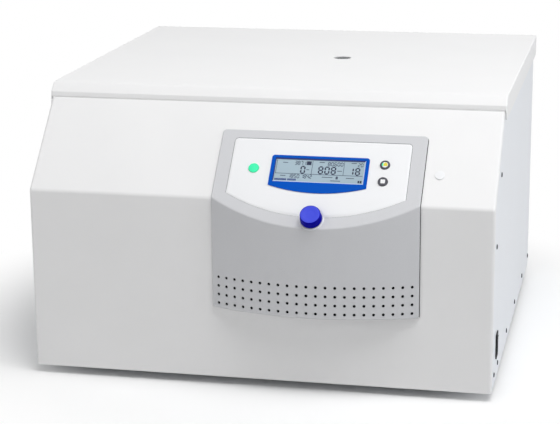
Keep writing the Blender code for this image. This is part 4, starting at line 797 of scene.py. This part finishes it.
# Flat bands along two sides of the display's window, mitred at their ends: painted shade along the top and left, and
# a painted highlight along the bottom and right
for name, look, line in (
    ("window_shadow_edge", "navy_print_and_shade", [low_left, (left, low), (left, high), (right, high), high_right, high_left]),
    ("window_bright_edge", "painted_highlight_pale", [low_left, low_right, high_right, (right, high), (right, low), (left, low)]),
):
    add_piece(name, flat_plate(line, [], 0.0005, 0.0001, surround_place), look)

# The display's figures. Their places are shares of its window's width and height, their sizes are metres
SEGMENTS = {"0": "abcdef", "1": "bc", "2": "abdeg", "3": "abcdg", "4": "bcfg",
            "5": "acdfg", "6": "acdefg", "7": "abc", "8": "abcdefg", "9": "abcdfg"}
ENDS = {"a": ((0, 1), (1, 1)), "b": ((1, 0.5), (1, 1)), "c": ((1, 0), (1, 0.5)), "d": ((0, 0), (1, 0)),
        "e": ((0, 0), (0, 0.5)), "f": ((0, 0.5), (0, 1)), "g": ((0, 0.5), (1, 0.5))}
glass_place = on_slope(frame_x, 0, fascia_high_n + 0.00001)


def print_plate(line):
    return flat_plate(line, [], 0.00006, 0.00001, glass_place)


def segment_line(letter, width, height, stroke):
    """One of seven long hexagons of a figure, by its usual letter."""
    start, end = np.array(ENDS[letter], float) * (width, height)
    ahead = (end - start) / np.linalg.norm(end - start)
    side = np.array((-ahead[1], ahead[0])) * stroke / 2
    start, end = start + ahead * stroke * 0.12, end - ahead * stroke * 0.12
    tip = ahead * stroke / 2
    return np.array([start, start + tip - side, end - tip - side, end, end - tip + side, start + tip + side])


def figure_meshes(text, right, low, width, height, stroke, pitch):
    """A number in seven-segment figures, ending at a share of the window."""
    meshes = []
    s = screen_low + low * (screen_high - screen_low)
    for place, letter in enumerate(reversed(text)):
        x = -screen_half + right * 2 * screen_half - width - place * pitch
        meshes += [print_plate(segment_line(name, width, height, stroke) + (x, s)) for name in SEGMENTS[letter]]
    return meshes


def bar_mesh(left, low, right, high):
    x = [-screen_half + share * 2 * screen_half for share in (left, right)]
    s = [screen_low + share * (screen_high - screen_low) for share in (low, high)]
    return print_plate(rectangle_line(x[0], s[0], x[1], s[1]))


def add_print(name, look, numbers, bars):
    """Numbers and bars of one colour as one piece on the glass."""
    meshes = [mesh for number in numbers for mesh in figure_meshes(*number)] + [bar_mesh(*bar) for bar in bars]
    add_piece(name, merged(meshes), look, sharp=0)


# Text, right end and lower edge, then the width, height, stroke and pitch of its figures
large = [
    ("0", 0.335, 0.39, 0.0050, 0.0108, 0.0020, 0.0088),
    ("808", 0.680, 0.40, 0.0052, 0.0108, 0.0020, 0.0088),
    ("18", 0.950, 0.40, 0.0050, 0.0106, 0.0020, 0.0088),
]
# Left, lower, right and upper edge of each bar
marks = [(0.349, 0.77, 0.402, 0.94), (0.945, 0.035, 0.962, 0.145), (0.968, 0.035, 0.988, 0.145)]
add_print("display_figures", "figure_dark", large, marks)
dashes = [(0.012 + 0.0122 * n, 0.035, 0.0215 + 0.0122 * n, 0.125) for n in range(20) if n != 11]
add_print("display_status_line", "navy_print_and_shade", [], dashes)
small = [
    ("3871", 0.338, 0.77, 0.0026, 0.0056, 0.0011, 0.0041),
    ("80600", 0.757, 0.77, 0.0028, 0.0056, 0.0011, 0.0044),
    ("20", 0.980, 0.78, 0.0025, 0.0052, 0.0010, 0.0040),
    ("1850", 0.283, 0.165, 0.0027, 0.0054, 0.0010, 0.0041),
    ("1842", 0.424, 0.165, 0.0026, 0.0054, 0.0010, 0.0039),
]
rules = [
    (0.010, 0.342, 0.990, 0.364), (0.413, 0.35, 0.4185, 0.97), (0.769, 0.35, 0.7745, 0.97),
    (0.010, 0.345, 0.0155, 0.97),
]
# Left end, lower edge and right end of each bar that stands for a word
words = [
    (0.08, 0.84, 0.137), (0.49, 0.90, 0.55), (0.85, 0.91, 0.91), (0.355, 0.54, 0.385), (0.70, 0.53, 0.755),
    (0.07, 0.24, 0.13), (0.54, 0.23, 0.66), (0.81, 0.22, 0.90), (0.64, 0.08, 0.75),
]
words = [(left, share, right, share + 0.03) for left, share, right in words]
add_print("display_small_print", "figure_pale", small, rules + words + [(0.695, 0.17, 0.72, 0.30)])
eased("display_screen", 0.0003, "screen_grey")


# Keys, knob, cover plug and switch

def add_mark(name, key, line, look):
    """A flat mark on top of a key."""
    mark = key_place[key] @ Matrix.Translation((0, 0, 0.0019))
    add_piece(name, flat_plate(line, [], 0.0001, 0.00002, mark), look, body=node_body[key], sharp=0)


key_place = {name: on_slope(x, s, fascia_n + 0.0006) for name, (x, s, _) in keys.items()}
start_radius, key_radius = keys["start_key"][2], keys["lid_key"][2]
dome = [(0, 0), (start_radius, 0), (start_radius, 0.0019, 0.0005), (0, 0.0021)]
add_turned("start_key_cap", dome, key_place["start_key"], "key_green", "start_key")
ring = [
    (0, 0), (key_radius, 0), (key_radius, 0.0020, 0.0005), (0.0047, 0.0020, 0.0003), (0.0044, 0.0016), (0, 0.0016)
]
inlay = [(0, 0.0015), (0.0043, 0.0015), (0.0043, 0.0019, 0.0003), (0, 0.0019)]
for name, look in (("lid_key", "fascia_white"), ("stop_key", "key_dark")):
    add_turned(f"{name}_ring", ring, key_place[name], "key_dark", name)
    add_turned(f"{name}_inlay", inlay, key_place[name], look, body=node_body[name])
arrow = [(-0.0040, -0.0020), (-0.0023, -0.0020), (-0.0023, 0.0030), (-0.0040, 0.0014)]
add_mark("lid_key_arrow", "lid_key", arrow, "key_green")
bar = [(-0.0020, -0.0020), (0.0034, -0.0020), (0.0037, 0.0012), (0.0008, 0.0040), (-0.0020, 0.0018)]
add_mark("lid_key_bar", "lid_key", bar, "key_yellow")
add_mark("stop_key_square", "stop_key", rectangle_line(-0.0031, -0.0031, 0.0031, 0.0031, 0.0011), "fascia_white")

knob_place = on_slope(bezel_x, knob_s, knob_n)
knob = [
    (0, 0.009), (0.0033, 0.009), (0.0033, 0), (0.015, 0, 0.0006), (0.0149, 0.0022, 0.0018),
    (0.0140, 0.0115, 0.0011), (0.0105, 0.0115, 0.004), (0.006, 0.0109, 0.004), (0, 0.0109),
]
add_turned("knob_cap", knob, knob_place, "knob_blue", "control_knob", sides=128)
# The face is a lighter blue than the knob's sides: painted light on its top
face = [
    (0, 0.0105), (0.0133, 0.0105), (0.0133, 0.01162, 0.0005), (0.0105, 0.01158, 0.004), (0.006, 0.01102, 0.004),
    (0, 0.01102),
]
knob_body = node_body["control_knob"]
add_turned("knob_face", face, knob_place, "knob_face_painted_highlight_blue", body=knob_body, sides=128)
well_low, well_high, well_in, well_out = bezel_proud + 0.00005, bezel_proud + 0.0008, 0.0152, 0.0174
well = [(well_in, well_low), (well_out, well_low), (well_out, well_high, 0.0003), (well_in, well_high, 0.0002)]
add_turned("knob_well", well + well[:1], on_slope(bezel_x, knob_s), "fascia_white")
plug = [(0, -0.012), (0.005, -0.012), (0.005, 0.0003), (0.0066, 0.0003), (0.0066, 0.0013, 0.0005), (0, 0.0015)]
add_turned("release_plug_cap", plug, on_slope(plug_x, plug_s), "fascia_white", "release_plug")
eased("encoder_shaft", 0.0005, "bright_steel")
for node in ("switch_frame", "switch_rocker"):
    eased(node, 0.0005, "switch_black")


def switch_print_and_glint():
    """A stroke above and a ring below the valley, laid on the rocker's two faces: a printed I and O, whose white
    stroke also serves as a painted highlight of the rocker's glint.
    """
    rocker = Matrix.Translation((half_width - 0.0015, front_y + 0.057, 0.064)) @ Matrix.Rotation(radians(6), 4, "Y")
    face_turn, mark_height = radians(8.3), 0.0066
    stroke = rectangle_line(-0.0024, -0.0005, 0.0024, 0.0005)
    outer, inner = circle_line(0, 0, 0.0026, 32), circle_line(0, 0, 0.0018, 32)
    made = []
    for side, outline, holes in ((1, stroke, []), (-1, outer, [inner])):
        face = rocker @ Matrix.Translation((0.00125 + mark_height * tan(face_turn), 0, side * mark_height))
        face = face @ Matrix.Rotation(side * face_turn, 4, "Y") @ Matrix.Rotation(pi / 2, 4, "Y")
        made.append(flat_plate(outline, holes, 0.0001, 0.00002, face))
    return merged(made)


# The rocker's print, whose white stroke also paints its glint
add_piece("switch_print_and_glint", switch_print_and_glint(), "fascia_white", body="rocker", sharp=0)

# Chamber, gasket and what cools the chamber

bowl_radius, bowl_wall, flange_radius, hole_radius = 0.212, 0.002, 0.226, 0.022
bowl_outer, floor_z, flange_z = bowl_radius + bowl_wall, bowl_low.z + bowl_wall, bowl_high.z
bowl = [
    (hole_radius, floor_z), (bowl_radius, floor_z, 0.022), (bowl_radius, flange_z, 0.0016),
    (flange_radius, flange_z, 0.0008), (flange_radius, flange_z - bowl_wall), (bowl_outer, flange_z - bowl_wall),
    (bowl_outer, bowl_low.z, 0.024), (hole_radius, bowl_low.z),
]
bowl = lathe(ring_line(bowl, 10), chamber, 160)
add_piece("chamber_bowl", bowl, "chamber_steel", "rotor_chamber")
gasket_low, gasket_high = (corner.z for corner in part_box("chamber_gasket"))
shoulder = gasket_low + 0.0026
gasket = [
    (0.2162, gasket_low, 0.0006), (flange_radius, gasket_low, 0.0006), (flange_radius, shoulder, 0.0010),
    (0.2236, gasket_high, 0.0012), (0.2190, gasket_high, 0.0012), (0.2162, shoulder, 0.0010),
]
add_piece("chamber_seal", lathe(ring_line(gasket), chamber, 160), "grey_rubber", "chamber_gasket")
jacket_low, jacket_high = (corner.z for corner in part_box("insulation_jacket"))
jacket_in, jacket_out, jacket_floor = 0.2226, 0.2396, bowl_low.z - gap
jacket = [
    (0.025, jacket_low), (jacket_out, jacket_low, 0.004), (jacket_out, jacket_high, 0.001),
    (jacket_in, jacket_high, 0.001), (jacket_in, jacket_floor), (0.025, jacket_floor),
]
add_piece("foam_jacket", lathe(ring_line(jacket), chamber, 128), "foam", "insulation_jacket")


def coil_path():
    """Three level turns that climb by one pitch each: radius times cos and sin, height by the share of a turn."""
    coil_radius, coil_pitch, first_height = 0.2183, 0.045, 0.045
    turns = np.linspace(0, 3, 3 * 72 + 1)
    angles = 2 * pi * turns
    x, y = chamber_x + coil_radius * np.cos(angles), chamber_y + coil_radius * np.sin(angles)
    return np.stack((x, y, bowl_low.z + first_height + coil_pitch * turns), -1)


add_piece("cooling_coil", tube(coil_path(), 0.0039, (0, 0, 1), 10), "copper", "evaporator_coil", sharp=60)

# Rotor, drawn about its own axis and the line of its trunnion pins

rotor = Matrix.Translation((chamber_x, chamber_y, trunnion_z))
bucket_reach = 0.094975


def rotor_star():
    """The head: one arm's outline, turned four times, with a slot in each arm and the pins on its cheeks."""
    lower = [(0.015, -0.009), (0.109437, -0.009, 0.006), (0.12727, -0.026833, 0.002), (0.147032, -0.007071, 0.002)]
    arm = lower + [(u, -v, *radius) for u, v, *radius in lower[::-1]]
    slot_line = rectangle_line(0.050, -0.0042, 0.098, 0.0042, 0.004)
    corners, holes, pins = [], [], []
    pin = [(0, 0.0466), (0.0052, 0.0466), (0.006, 0.0476), (0.006, 0.0800), (0, 0.0800)]
    for quarter in range(4):
        angle = pi / 4 + quarter * pi / 2
        c, s = cos(angle), sin(angle)
        corners += [(u * c - v * s, u * s + v * c, *radius) for u, v, *radius in arm]
        holes.append(slot_line @ np.array([(c, s), (-s, c)]))
        place = rotor @ (Matrix.Rotation(quarter * pi / 2, 4, "Z") @ Matrix.Translation((bucket_reach, 0, 0)))
        pins += [lathe(pin, place @ Matrix.Rotation(side, 4, "X"), 32) for side in (-pi / 2, pi / 2)]
    holes.append(circle_line(0, 0, 0.012))
    star = flat_plate(rounded(corners, 4), holes, 0.024, 0.0012, rotor @ Matrix.Translation((0, 0, -0.012)))
    hub = [
        (0.0083, -0.085), (0.030, -0.085, 0.0015), (0.030, -0.070, 0.001), (0.0275, -0.067, 0.001),
        (0.0275, -0.030, 0.001), (0.030, -0.026, 0.001), (0.030, 0.020, 0.0025), (0.019, 0.020, 0.0005),
        (0.0185, 0.0192, 0.0005), (0.0083, 0.0192),
    ]
    return united(star, lathe(ring_line(hub), rotor, 96), *pins)


add_piece("rotor_star", rotor_star(), "aluminium", "rotor_head", weigh=True)
nut_low, nut_high = (corner.z - trunnion_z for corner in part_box("rotor_nut"))
nut = [
    (0, nut_low + 0.0102), (0.0092, nut_low + 0.0102), (0.0092, nut_low), (0.0145, nut_low, 0.0008),
    (0.0150, nut_low + 0.0090, 0.0010), (0.0118, nut_low + 0.0104, 0.0008), (0.0102, nut_high, 0.0012), (0, nut_high),
]
add_turned("rotor_nut_fluted", nut, rotor, "dark_steel", "rotor_nut", wave=lambda a: 0.965 + 0.035 * np.cos(8 * a))


def bucket_cup():
    """A cup with a beaded rim and a round foot, and a lug with a blind bore on each side of it."""
    out, bead, bore = 0.04399, 0.0430, 0.04099
    cup = [
        (0, -0.0950), (out, -0.0950, 0.014), (out, 0.0130, 0.0006), (bead, 0.0140, 0.0006), (bead, 0.0160, 0.0006),
        (out, 0.0170, 0.0006), (out, 0.0220, 0.0011), (bore, 0.0220, 0.0011), (bore, -0.0920, 0.011), (0, -0.0920),
    ]
    lug = rectangle_line(-0.010, -0.014, 0.010, 0.014, 0.0065)
    lugs = []
    for side in (0, pi):
        place = Matrix.Rotation(side, 4, "Z") @ Matrix.Translation((0, -0.0425, 0)) @ Matrix.Rotation(pi / 2, 4, "X")
        lugs.append(flat_plate(lug, [circle_line(0, 0, 0.0065, 32)], 0.00949, 0.0008, place))
    return united(lathe(rounded(cup, 8), Matrix.Identity(4), 96), *lugs)


cup_mesh = bucket_cup()
for number in range(4):
    cup = cup_mesh.copy()
    cup.transform(rotor @ Matrix.Rotation(number * pi / 2, 4, "Z") @ Matrix.Translation((bucket_reach, 0, 0)))
    node = f"bucket_{number + 1}"
    add_piece(f"{node}_cup", cup, "aluminium", node, weigh=True)

# Motor, compressor, condenser and fan

motor_low, motor_top = (corner.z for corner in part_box("drive_motor"))
flange_top, shoulder_z, shaft_low = motor_low + 0.006, 0.1276, motor_top - 0.0303
motor = [
    (0, motor_low), (0.095, motor_low, 0.001), (0.095, flange_top, 0.001), (0.058, flange_top, 0.001),
    (0.058, 0.1156, 0.003), (0.050, shoulder_z, 0.003), (0.019, shoulder_z, 0.002), (0.019, motor_top, 0.0006),
    (0.0084, motor_top), (0.0084, shaft_low), (0, shaft_low),
]
rib_points, rib_top = np.arange(36 * 4), 0.1130
rib_angles = 2 * pi * rib_points / len(rib_points)
rib_reach = np.where(rib_points % 4 < 2, 0.062, 0.0575)[:, None]
rib_line = rib_reach * np.stack((np.cos(rib_angles), np.sin(rib_angles)), -1)
motor_body = united(lathe(rounded(motor), chamber), prism(rib_line, motor_low + 0.010, rib_top, chamber))
add_piece("motor_body", motor_body, "dark_steel", "drive_motor")
mount = [
    (0, 0), (0.014, 0, 0.0008), (0.014, 0.003, 0.001), (0.010, 0.011, 0.006), (0.014, 0.019, 0.001),
    (0.014, 0.022, 0.0008), (0, 0.022),
]
for name in ("rear", "left", "right"):
    node = f"motor_mount_{name}"
    middle, low = middle_of(node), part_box(node)[0].z
    add_turned(f"{node}_rubber", mount, Matrix.Translation((middle.x, middle.y, low)), "black_rubber", node, sides=48)

compressor_low, compressor_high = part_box("compressor")
middle = middle_of("compressor")
foot_radius, can_radius = 0.062, 0.0602
can = [
    (0, 0), (foot_radius, 0, 0.001), (foot_radius, 0.0045, 0.001), (0.050, 0.012, 0.004), (can_radius, 0.040, 0.015),
    (can_radius, 0.0780), (foot_radius, 0.0788, 0.0004), (foot_radius, 0.0836, 0.0004), (can_radius, 0.0844),
    (can_radius, 0.125, 0.016), (0.040, 0.150, 0.018), (0, 0.150),
]
can = lathe(rounded(can, 10), Matrix.Translation((middle.x, middle.y, compressor_low.z)))
add_piece("compressor_can", can, "dark_steel", "compressor")

condenser_low, condenser_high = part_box("condenser")
condenser_middle = middle_of("condenser")


def condenser_core():
    """Forty-eight thin fins on one core, as a comb-shaped outline drawn upwards, and a plate at each side."""
    fins, half, fin_depth, plate_reach, plate = 48, 0.079, 0.012, 0.0789, 0.0012
    pitch = 2 * half / (fins - 0.5)
    starts = condenser_middle.x - half + pitch * np.arange(fins)
    front, root = np.full(fins, condenser_low.y), np.full(fins, condenser_low.y + fin_depth)
    line = [(starts, root), (starts, front), (starts + pitch / 2, front), (starts + pitch / 2, root)]
    teeth = np.stack([np.stack(point, -1) for point in line], 1).reshape(-1, 2)
    back = [(condenser_middle.x + half, condenser_high.y), (condenser_middle.x - half, condenser_high.y)]
    meshes = [prism(np.vstack((teeth, back)), condenser_low.z, condenser_high.z)]
    for side in (-1, 1):
        x = condenser_middle.x + side * plate_reach
        near, far = sorted((x, x + side * plate))
        meshes.append(box_mesh((near, *condenser_low.yz), (far, *condenser_high.yz)))
    return merged(meshes)


def hairpin(side, height):
    """A tube that leaves the core, turns back in half a circle and goes in again."""
    x, y, half_turn, inside = condenser_middle.x + side * 0.0800, condenser_middle.y + 0.004, 0.009, 0.004
    angles = np.linspace(-pi / 2, pi / 2, 13)
    bend = (x + side * (0.0012 + 0.0025 * np.cos(angles)), np.full(13, y), height + half_turn * np.sin(angles))
    start, end = ((x - side * inside, y, height + way * half_turn) for way in (-1, 1))
    return tube(np.vstack((start, np.stack(bend, -1), end)), 0.0012, (0, 1, 0), 10)


add_piece("condenser_fins", condenser_core(), "aluminium", "condenser", sharp=30)
hairpins = [hairpin(side, condenser_low.z + 0.022 + 0.034 * row) for side in (-1, 1) for row in range(5)]
add_piece("condenser_tubes", merged(hairpins), "copper", sharp=60)

fan_front, fan_axis_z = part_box("condenser_fan")[0].y, 0.113
fan_place = Matrix.Translation((middle_of("condenser_fan").x, fan_front, fan_axis_z))
fan_axis = fan_place @ Matrix.Rotation(-pi / 2, 4, "X")


def fan_blade(angle):
    """A blade whose chord turns from steep at the hub to flat at the tip.

    Along the blade the reach grows. Round its section the point is half the chord times cos and
    half the thickness times sin, turned by the pitch at that reach. Both ends close to a line.
    """
    root, length, height, half_thickness = 0.017, 0.0485, 0.009, 0.0009
    share = np.concatenate(([0], np.linspace(0, 1, 9), [1]))[:, None]
    swell = np.ones_like(share)
    swell[[0, -1]] = 0
    pitch = radians(38) - share * radians(16)
    around = 2 * pi * np.arange(16) / 16
    a = swell * (0.0115 + 0.0025 * np.sin(pi * share)) * np.cos(around)
    b = swell * half_thickness * np.sin(around)
    across = a * np.cos(pitch) - b * np.sin(pitch)
    reach = np.broadcast_to(root + share * length, across.shape)
    points = np.stack((reach, across, height + a * np.sin(pitch) + b * np.cos(pitch)), -1)
    return grid_mesh(placed(points, fan_axis @ Matrix.Rotation(angle, 4, "Z")), around=True)


fan_hub = [
    (0, 0), (0.017, 0, 0.003), (0.0200, 0.003, 0.002), (0.0200, 0.018, 0.001), (0.0165, 0.018), (0.0165, 0.006),
    (0.006, 0.006), (0.006, 0.0178), (0.0024, 0.0178), (0.0024, 0.006), (0, 0.006),
]
blades = [fan_blade(2 * pi * number / 5 + pi / 2) for number in range(5)]
add_piece("fan_wheel", united(lathe(rounded(fan_hub), fan_axis, 64), *blades), "black_plastic", "condenser_fan")


def bent(corners, radius, steps=8):
    """A path through straight runs, with one round bend at each inner corner, by an arc about its centre."""
    corners = np.array(corners, float)
    path = [corners[:1]]
    for before, corner, after in zip(corners, corners[1:], corners[2:]):
        back, ahead = before - corner, after - corner
        back /= np.linalg.norm(back)
        ahead /= np.linalg.norm(ahead)
        half = np.arccos(back @ ahead) / 2
        run = radius / tan(half)
        centre = corner + (back + ahead) / np.linalg.norm(back + ahead) * radius / sin(half)
        start, end = corner + back * run - centre, corner + ahead * run - centre
        sweep = pi - 2 * half
        share = np.linspace(0, 1, steps + 1)[:, None]
        path.append(centre + (start * np.sin((1 - share) * sweep) + end * np.sin(share * sweep)) / sin(sweep))
    return np.concatenate(path + [corners[-1:]])


pipe_low, pipe_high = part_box("discharge_pipe")
pipe_x, pipe_radius = (pipe_low.x + pipe_high.x) / 2, 0.004
pipe_front, pipe_back, pipe_level = pipe_low.y + pipe_radius, pipe_high.y - pipe_radius, pipe_high.z - pipe_radius
pipe_corners = [
    (pipe_x, pipe_front, compressor_high.z + gap), (pipe_x, pipe_front, pipe_level),
    (pipe_x, pipe_back, pipe_level), (pipe_x, pipe_back, condenser_high.z + gap),
]
pipe = tube(bent(pipe_corners, 0.020), 0.0039, (1, 0, 0))
add_piece("discharge_tube", pipe, "copper", "discharge_pipe", sharp=60)

# Lid springs, lid lock, hinge and what stands behind the panels

spring_out, spring_z, spring_length, rod_radius = 0.302, 0.3885, 0.25, 0.004
spring_y = middle_of("hinge_shaft").y - 0.3425
eye_in, eye_out, eye_half = 0.0033, 0.0065, 0.004
tube_line = [
    (0, 0.009), (0.0060, 0.009, 0.001), (0.0070, 0.012, 0.001), (0.0070, 0.1395, 0.001), (0.0062, 0.1410, 0.0004),
    (0.0070, 0.1425, 0.0006), (0.0064, 0.1440, 0.0006), (0.0045, 0.1440), (0.0045, 0.023), (0, 0.023),
]
rod_line = [(0, 0.0265), (rod_radius, 0.0265, 0.0008), (rod_radius, 0.2468), (0, 0.2468)]


def eye_line(inner):
    return [(inner, -eye_half), (eye_out, -eye_half, 0.001), (eye_out, eye_half, 0.001), (inner, eye_half)]


for side, name in ((-1, "left"), (1, "right")):
    pivot = Matrix.Translation((side * spring_out, spring_y, spring_z))
    along, across = pivot @ Matrix.Rotation(-pi / 2, 4, "X"), pivot @ Matrix.Rotation(pi / 2, 4, "Y")
    neck = box_mesh((-0.002, 0.0045, -0.0034), (0.002, 0.016, 0.0034), pivot)
    cylinder = united(lathe(rounded(tube_line), along, 48), lathe(ring_line(eye_line(eye_in)), across, 40), neck)
    node = f"gas_spring_cylinder_{name}"
    add_piece(f"{node}_can", cylinder, "dark_steel", node, weigh=True)
    rod_eye = lathe(rounded(eye_line(0)), across, 40)
    rod_eye.transform(Matrix.Translation((0, spring_length, 0)))
    node = f"gas_spring_rod_{name}"
    add_piece(f"{node}_shaft", united(lathe(rounded(rod_line), along, 32), rod_eye), "bright_steel", node, weigh=True)

# Edge width and finish of the nodes whose edges are only eased
for node, width, look in (
    ("lid_liner", 0.0012, "galvanised"), ("hinge_rail", 0.0005, "galvanised"), ("hinge_leaf", 0.0006, "galvanised"),
    ("hinge_shaft", 0.0006, "bright_steel"), ("striker_bar", 0.0007, "bright_steel"),
    ("latch_bracket_left", 0.0006, "galvanised"), ("latch_bracket_right", 0.0006, "galvanised"),
    ("latch_hook_left", 0.0006, "bright_steel"), ("latch_hook_right", 0.0006, "bright_steel"),
    ("motor_shaft", 0.0005, "bright_steel"), ("fan_shroud", 0.0006, "black_plastic"),
    ("power_module", 0.0012, "aluminium"), ("control_board", 0.0002, "board_green"),
    ("power_inlet", 0.0006, "black_plastic"),
):
    eased(node, width, look)
inlet, pin_half = Matrix.Translation((0.24, back_y, 0.067)), 0.00115
pins = [
    box_mesh((x - pin_half, -0.0157, -0.0072), (x + pin_half, -0.0026, -0.0008), inlet) for x in (-0.007, 0, 0.007)
]
add_piece("inlet_pins", merged(pins), "bright_steel", sharp=30)

screen_depth, board_thickness = 0.0125, 0.0016
board = on_slope(frame_x, (screen_low + screen_high) / 2, fascia_high_n - screen_depth - gap - board_thickness)
# Middle, width, length and height of each part on the control board
chips = [
    box_mesh((x - wide / 2, y - tall / 2, -high), (x + wide / 2, y + tall / 2, -0.00002), board)
    for x, y, wide, tall, high in (
        (-0.070, 0.010, 0.018, 0.018, 0.0024), (-0.035, 0.012, 0.012, 0.010, 0.0018),
        (0, 0.010, 0.022, 0.014, 0.0022), (0.045, 0.014, 0.010, 0.010, 0.0016),
        (0.075, 0.008, 0.014, 0.020, 0.0080), (-0.080, -0.020, 0.020, 0.008, 0.0070),
        (-0.040, -0.020, 0.030, 0.008, 0.0060), (0.010, -0.018, 0.008, 0.016, 0.0018),
        (0.040, -0.018, 0.016, 0.012, 0.0030), (0.080, -0.022, 0.020, 0.008, 0.0070),
    )
]
add_piece("board_parts", merged(chips), "black_plastic", sharp=30)


# Floor, light and camera

def seen_by_eye(tree):
    """One for rays of the camera and for what it sees mirrored or through glass, and nought for light."""
    rays = add_node(tree, "LightPath").outputs
    seen = calculated(tree, "MAXIMUM", rays["Is Camera Ray"], rays["Is Glossy Ray"])
    return calculated(tree, "MAXIMUM", seen, rays["Is Transmission Ray"])


def mix_shaders(tree, share, first, second, end):
    """Sends a mix of two shaders to the tree's end."""
    mixed = add_node(tree, "MixShader", {"Fac": share, 1: first, 2: second})
    set_inputs(tree, tree.nodes[end], {"Surface": mixed})


def build_floor():
    """A pale floor that fades to white with distance for the camera, and keeps the shadow near the object."""
    reach = 40.0
    mesh = bpy.data.meshes.new("floor")
    corners = [(-reach, -reach, 0), (reach, -reach, 0), (reach, reach, 0), (-reach, reach, 0)]
    mesh.from_pydata(corners, [], [(0, 1, 2, 3)])
    material = bpy.data.materials.new("pale_floor")
    material.use_nodes = True
    tree = material.node_tree
    place = add_node(tree, "TexCoord").outputs["Object"]
    distance = add_node(tree, "VectorMath", {0: place}, operation="LENGTH").outputs["Value"]
    spread = {"Value": distance, "From Min": 0.36, "From Max": 0.66}
    fade = add_node(tree, "MapRange", spread, interpolation_type="SMOOTHSTEP")
    seen = seen_by_eye(tree)
    tone = add_node(tree, "Mix", {0: seen, 6: (0.66, 0.66, 0.66, 1), 7: (0.97, 0.97, 0.97, 1)}, data_type="RGBA")
    shader = tree.nodes["Principled BSDF"]
    set_inputs(tree, shader, {"Roughness": 0.9, "Specular IOR Level": 0.0, "Base Color": tone.outputs[2]})
    white = add_node(tree, "Emission", {"Color": (1, 1, 1, 1), "Strength": 1.0})
    mix_shaders(tree, calculated(tree, "MULTIPLY", seen, fade), shader, white, "Material Output")
    mesh.materials.append(material)
    linked("floor", mesh)


def build_world(level):
    world = bpy.data.worlds.new("studio")
    bpy.context.scene.world = world
    world.use_nodes = True
    tree = world.node_tree
    soft = tree.nodes["Background"]
    set_inputs(tree, soft, {"Color": (0.99, 0.995, 1, 1), "Strength": level})
    white = add_node(tree, "Background", {"Color": (1, 1, 1, 1), "Strength": 1.0})
    mix_shaders(tree, seen_by_eye(tree), soft, white, "World Output")


def add_lamp(name, location, power, size, colour=(1, 1, 1)):
    """A square soft lamp that faces the middle of the object and isn't mirrored in it."""
    lamp = bpy.data.lights.new(name, "AREA")
    lamp.energy, lamp.size, lamp.color = power, size, colour
    holder = linked(name, lamp)
    holder.location = location
    holder.rotation_euler = (Vector((0, 0, 0.2)) - Vector(location)).to_track_quat("-Z", "Y").to_euler()
    holder.visible_glossy = False


def build_camera():
    """The photograph's view: turned right and down, with a slight roll."""
    camera = bpy.data.cameras.new("camera")
    camera.lens, camera.sensor_width = 111.05, 36
    camera.clip_start, camera.clip_end = 0.1, 100
    down, roll, turn = radians(14.593), radians(-0.489), radians(-12.335)
    view = Matrix.Rotation(roll, 3, "Y") @ Matrix.Rotation(down, 3, "X") @ Matrix.Rotation(turn, 3, "Z")
    columns = Matrix((view[0], view[2], -view[1])).transposed()
    holder = linked("camera", camera)
    holder.matrix_world = Matrix.Translation((0.51805, -2.52879, 0.84440)) @ columns.to_4x4()
    bpy.context.scene.camera = holder


build_floor()
build_world(0.25)
add_lamp("key_lamp", (0.9, -0.9, 3.0), 68, 2.0)
add_lamp("fill_lamp", (-2.2, -3.0, 1.4), 21, 2.0)
add_lamp("side_lamp", (3.4, -0.3, 1.2), 26, 2.0, (0.93, 0.965, 1))
add_lamp("rear_lamp", (-1.9, 3.0, 0.6), 24, 1.2)
build_camera()
bpy.context.scene.view_settings.view_transform = "Standard"
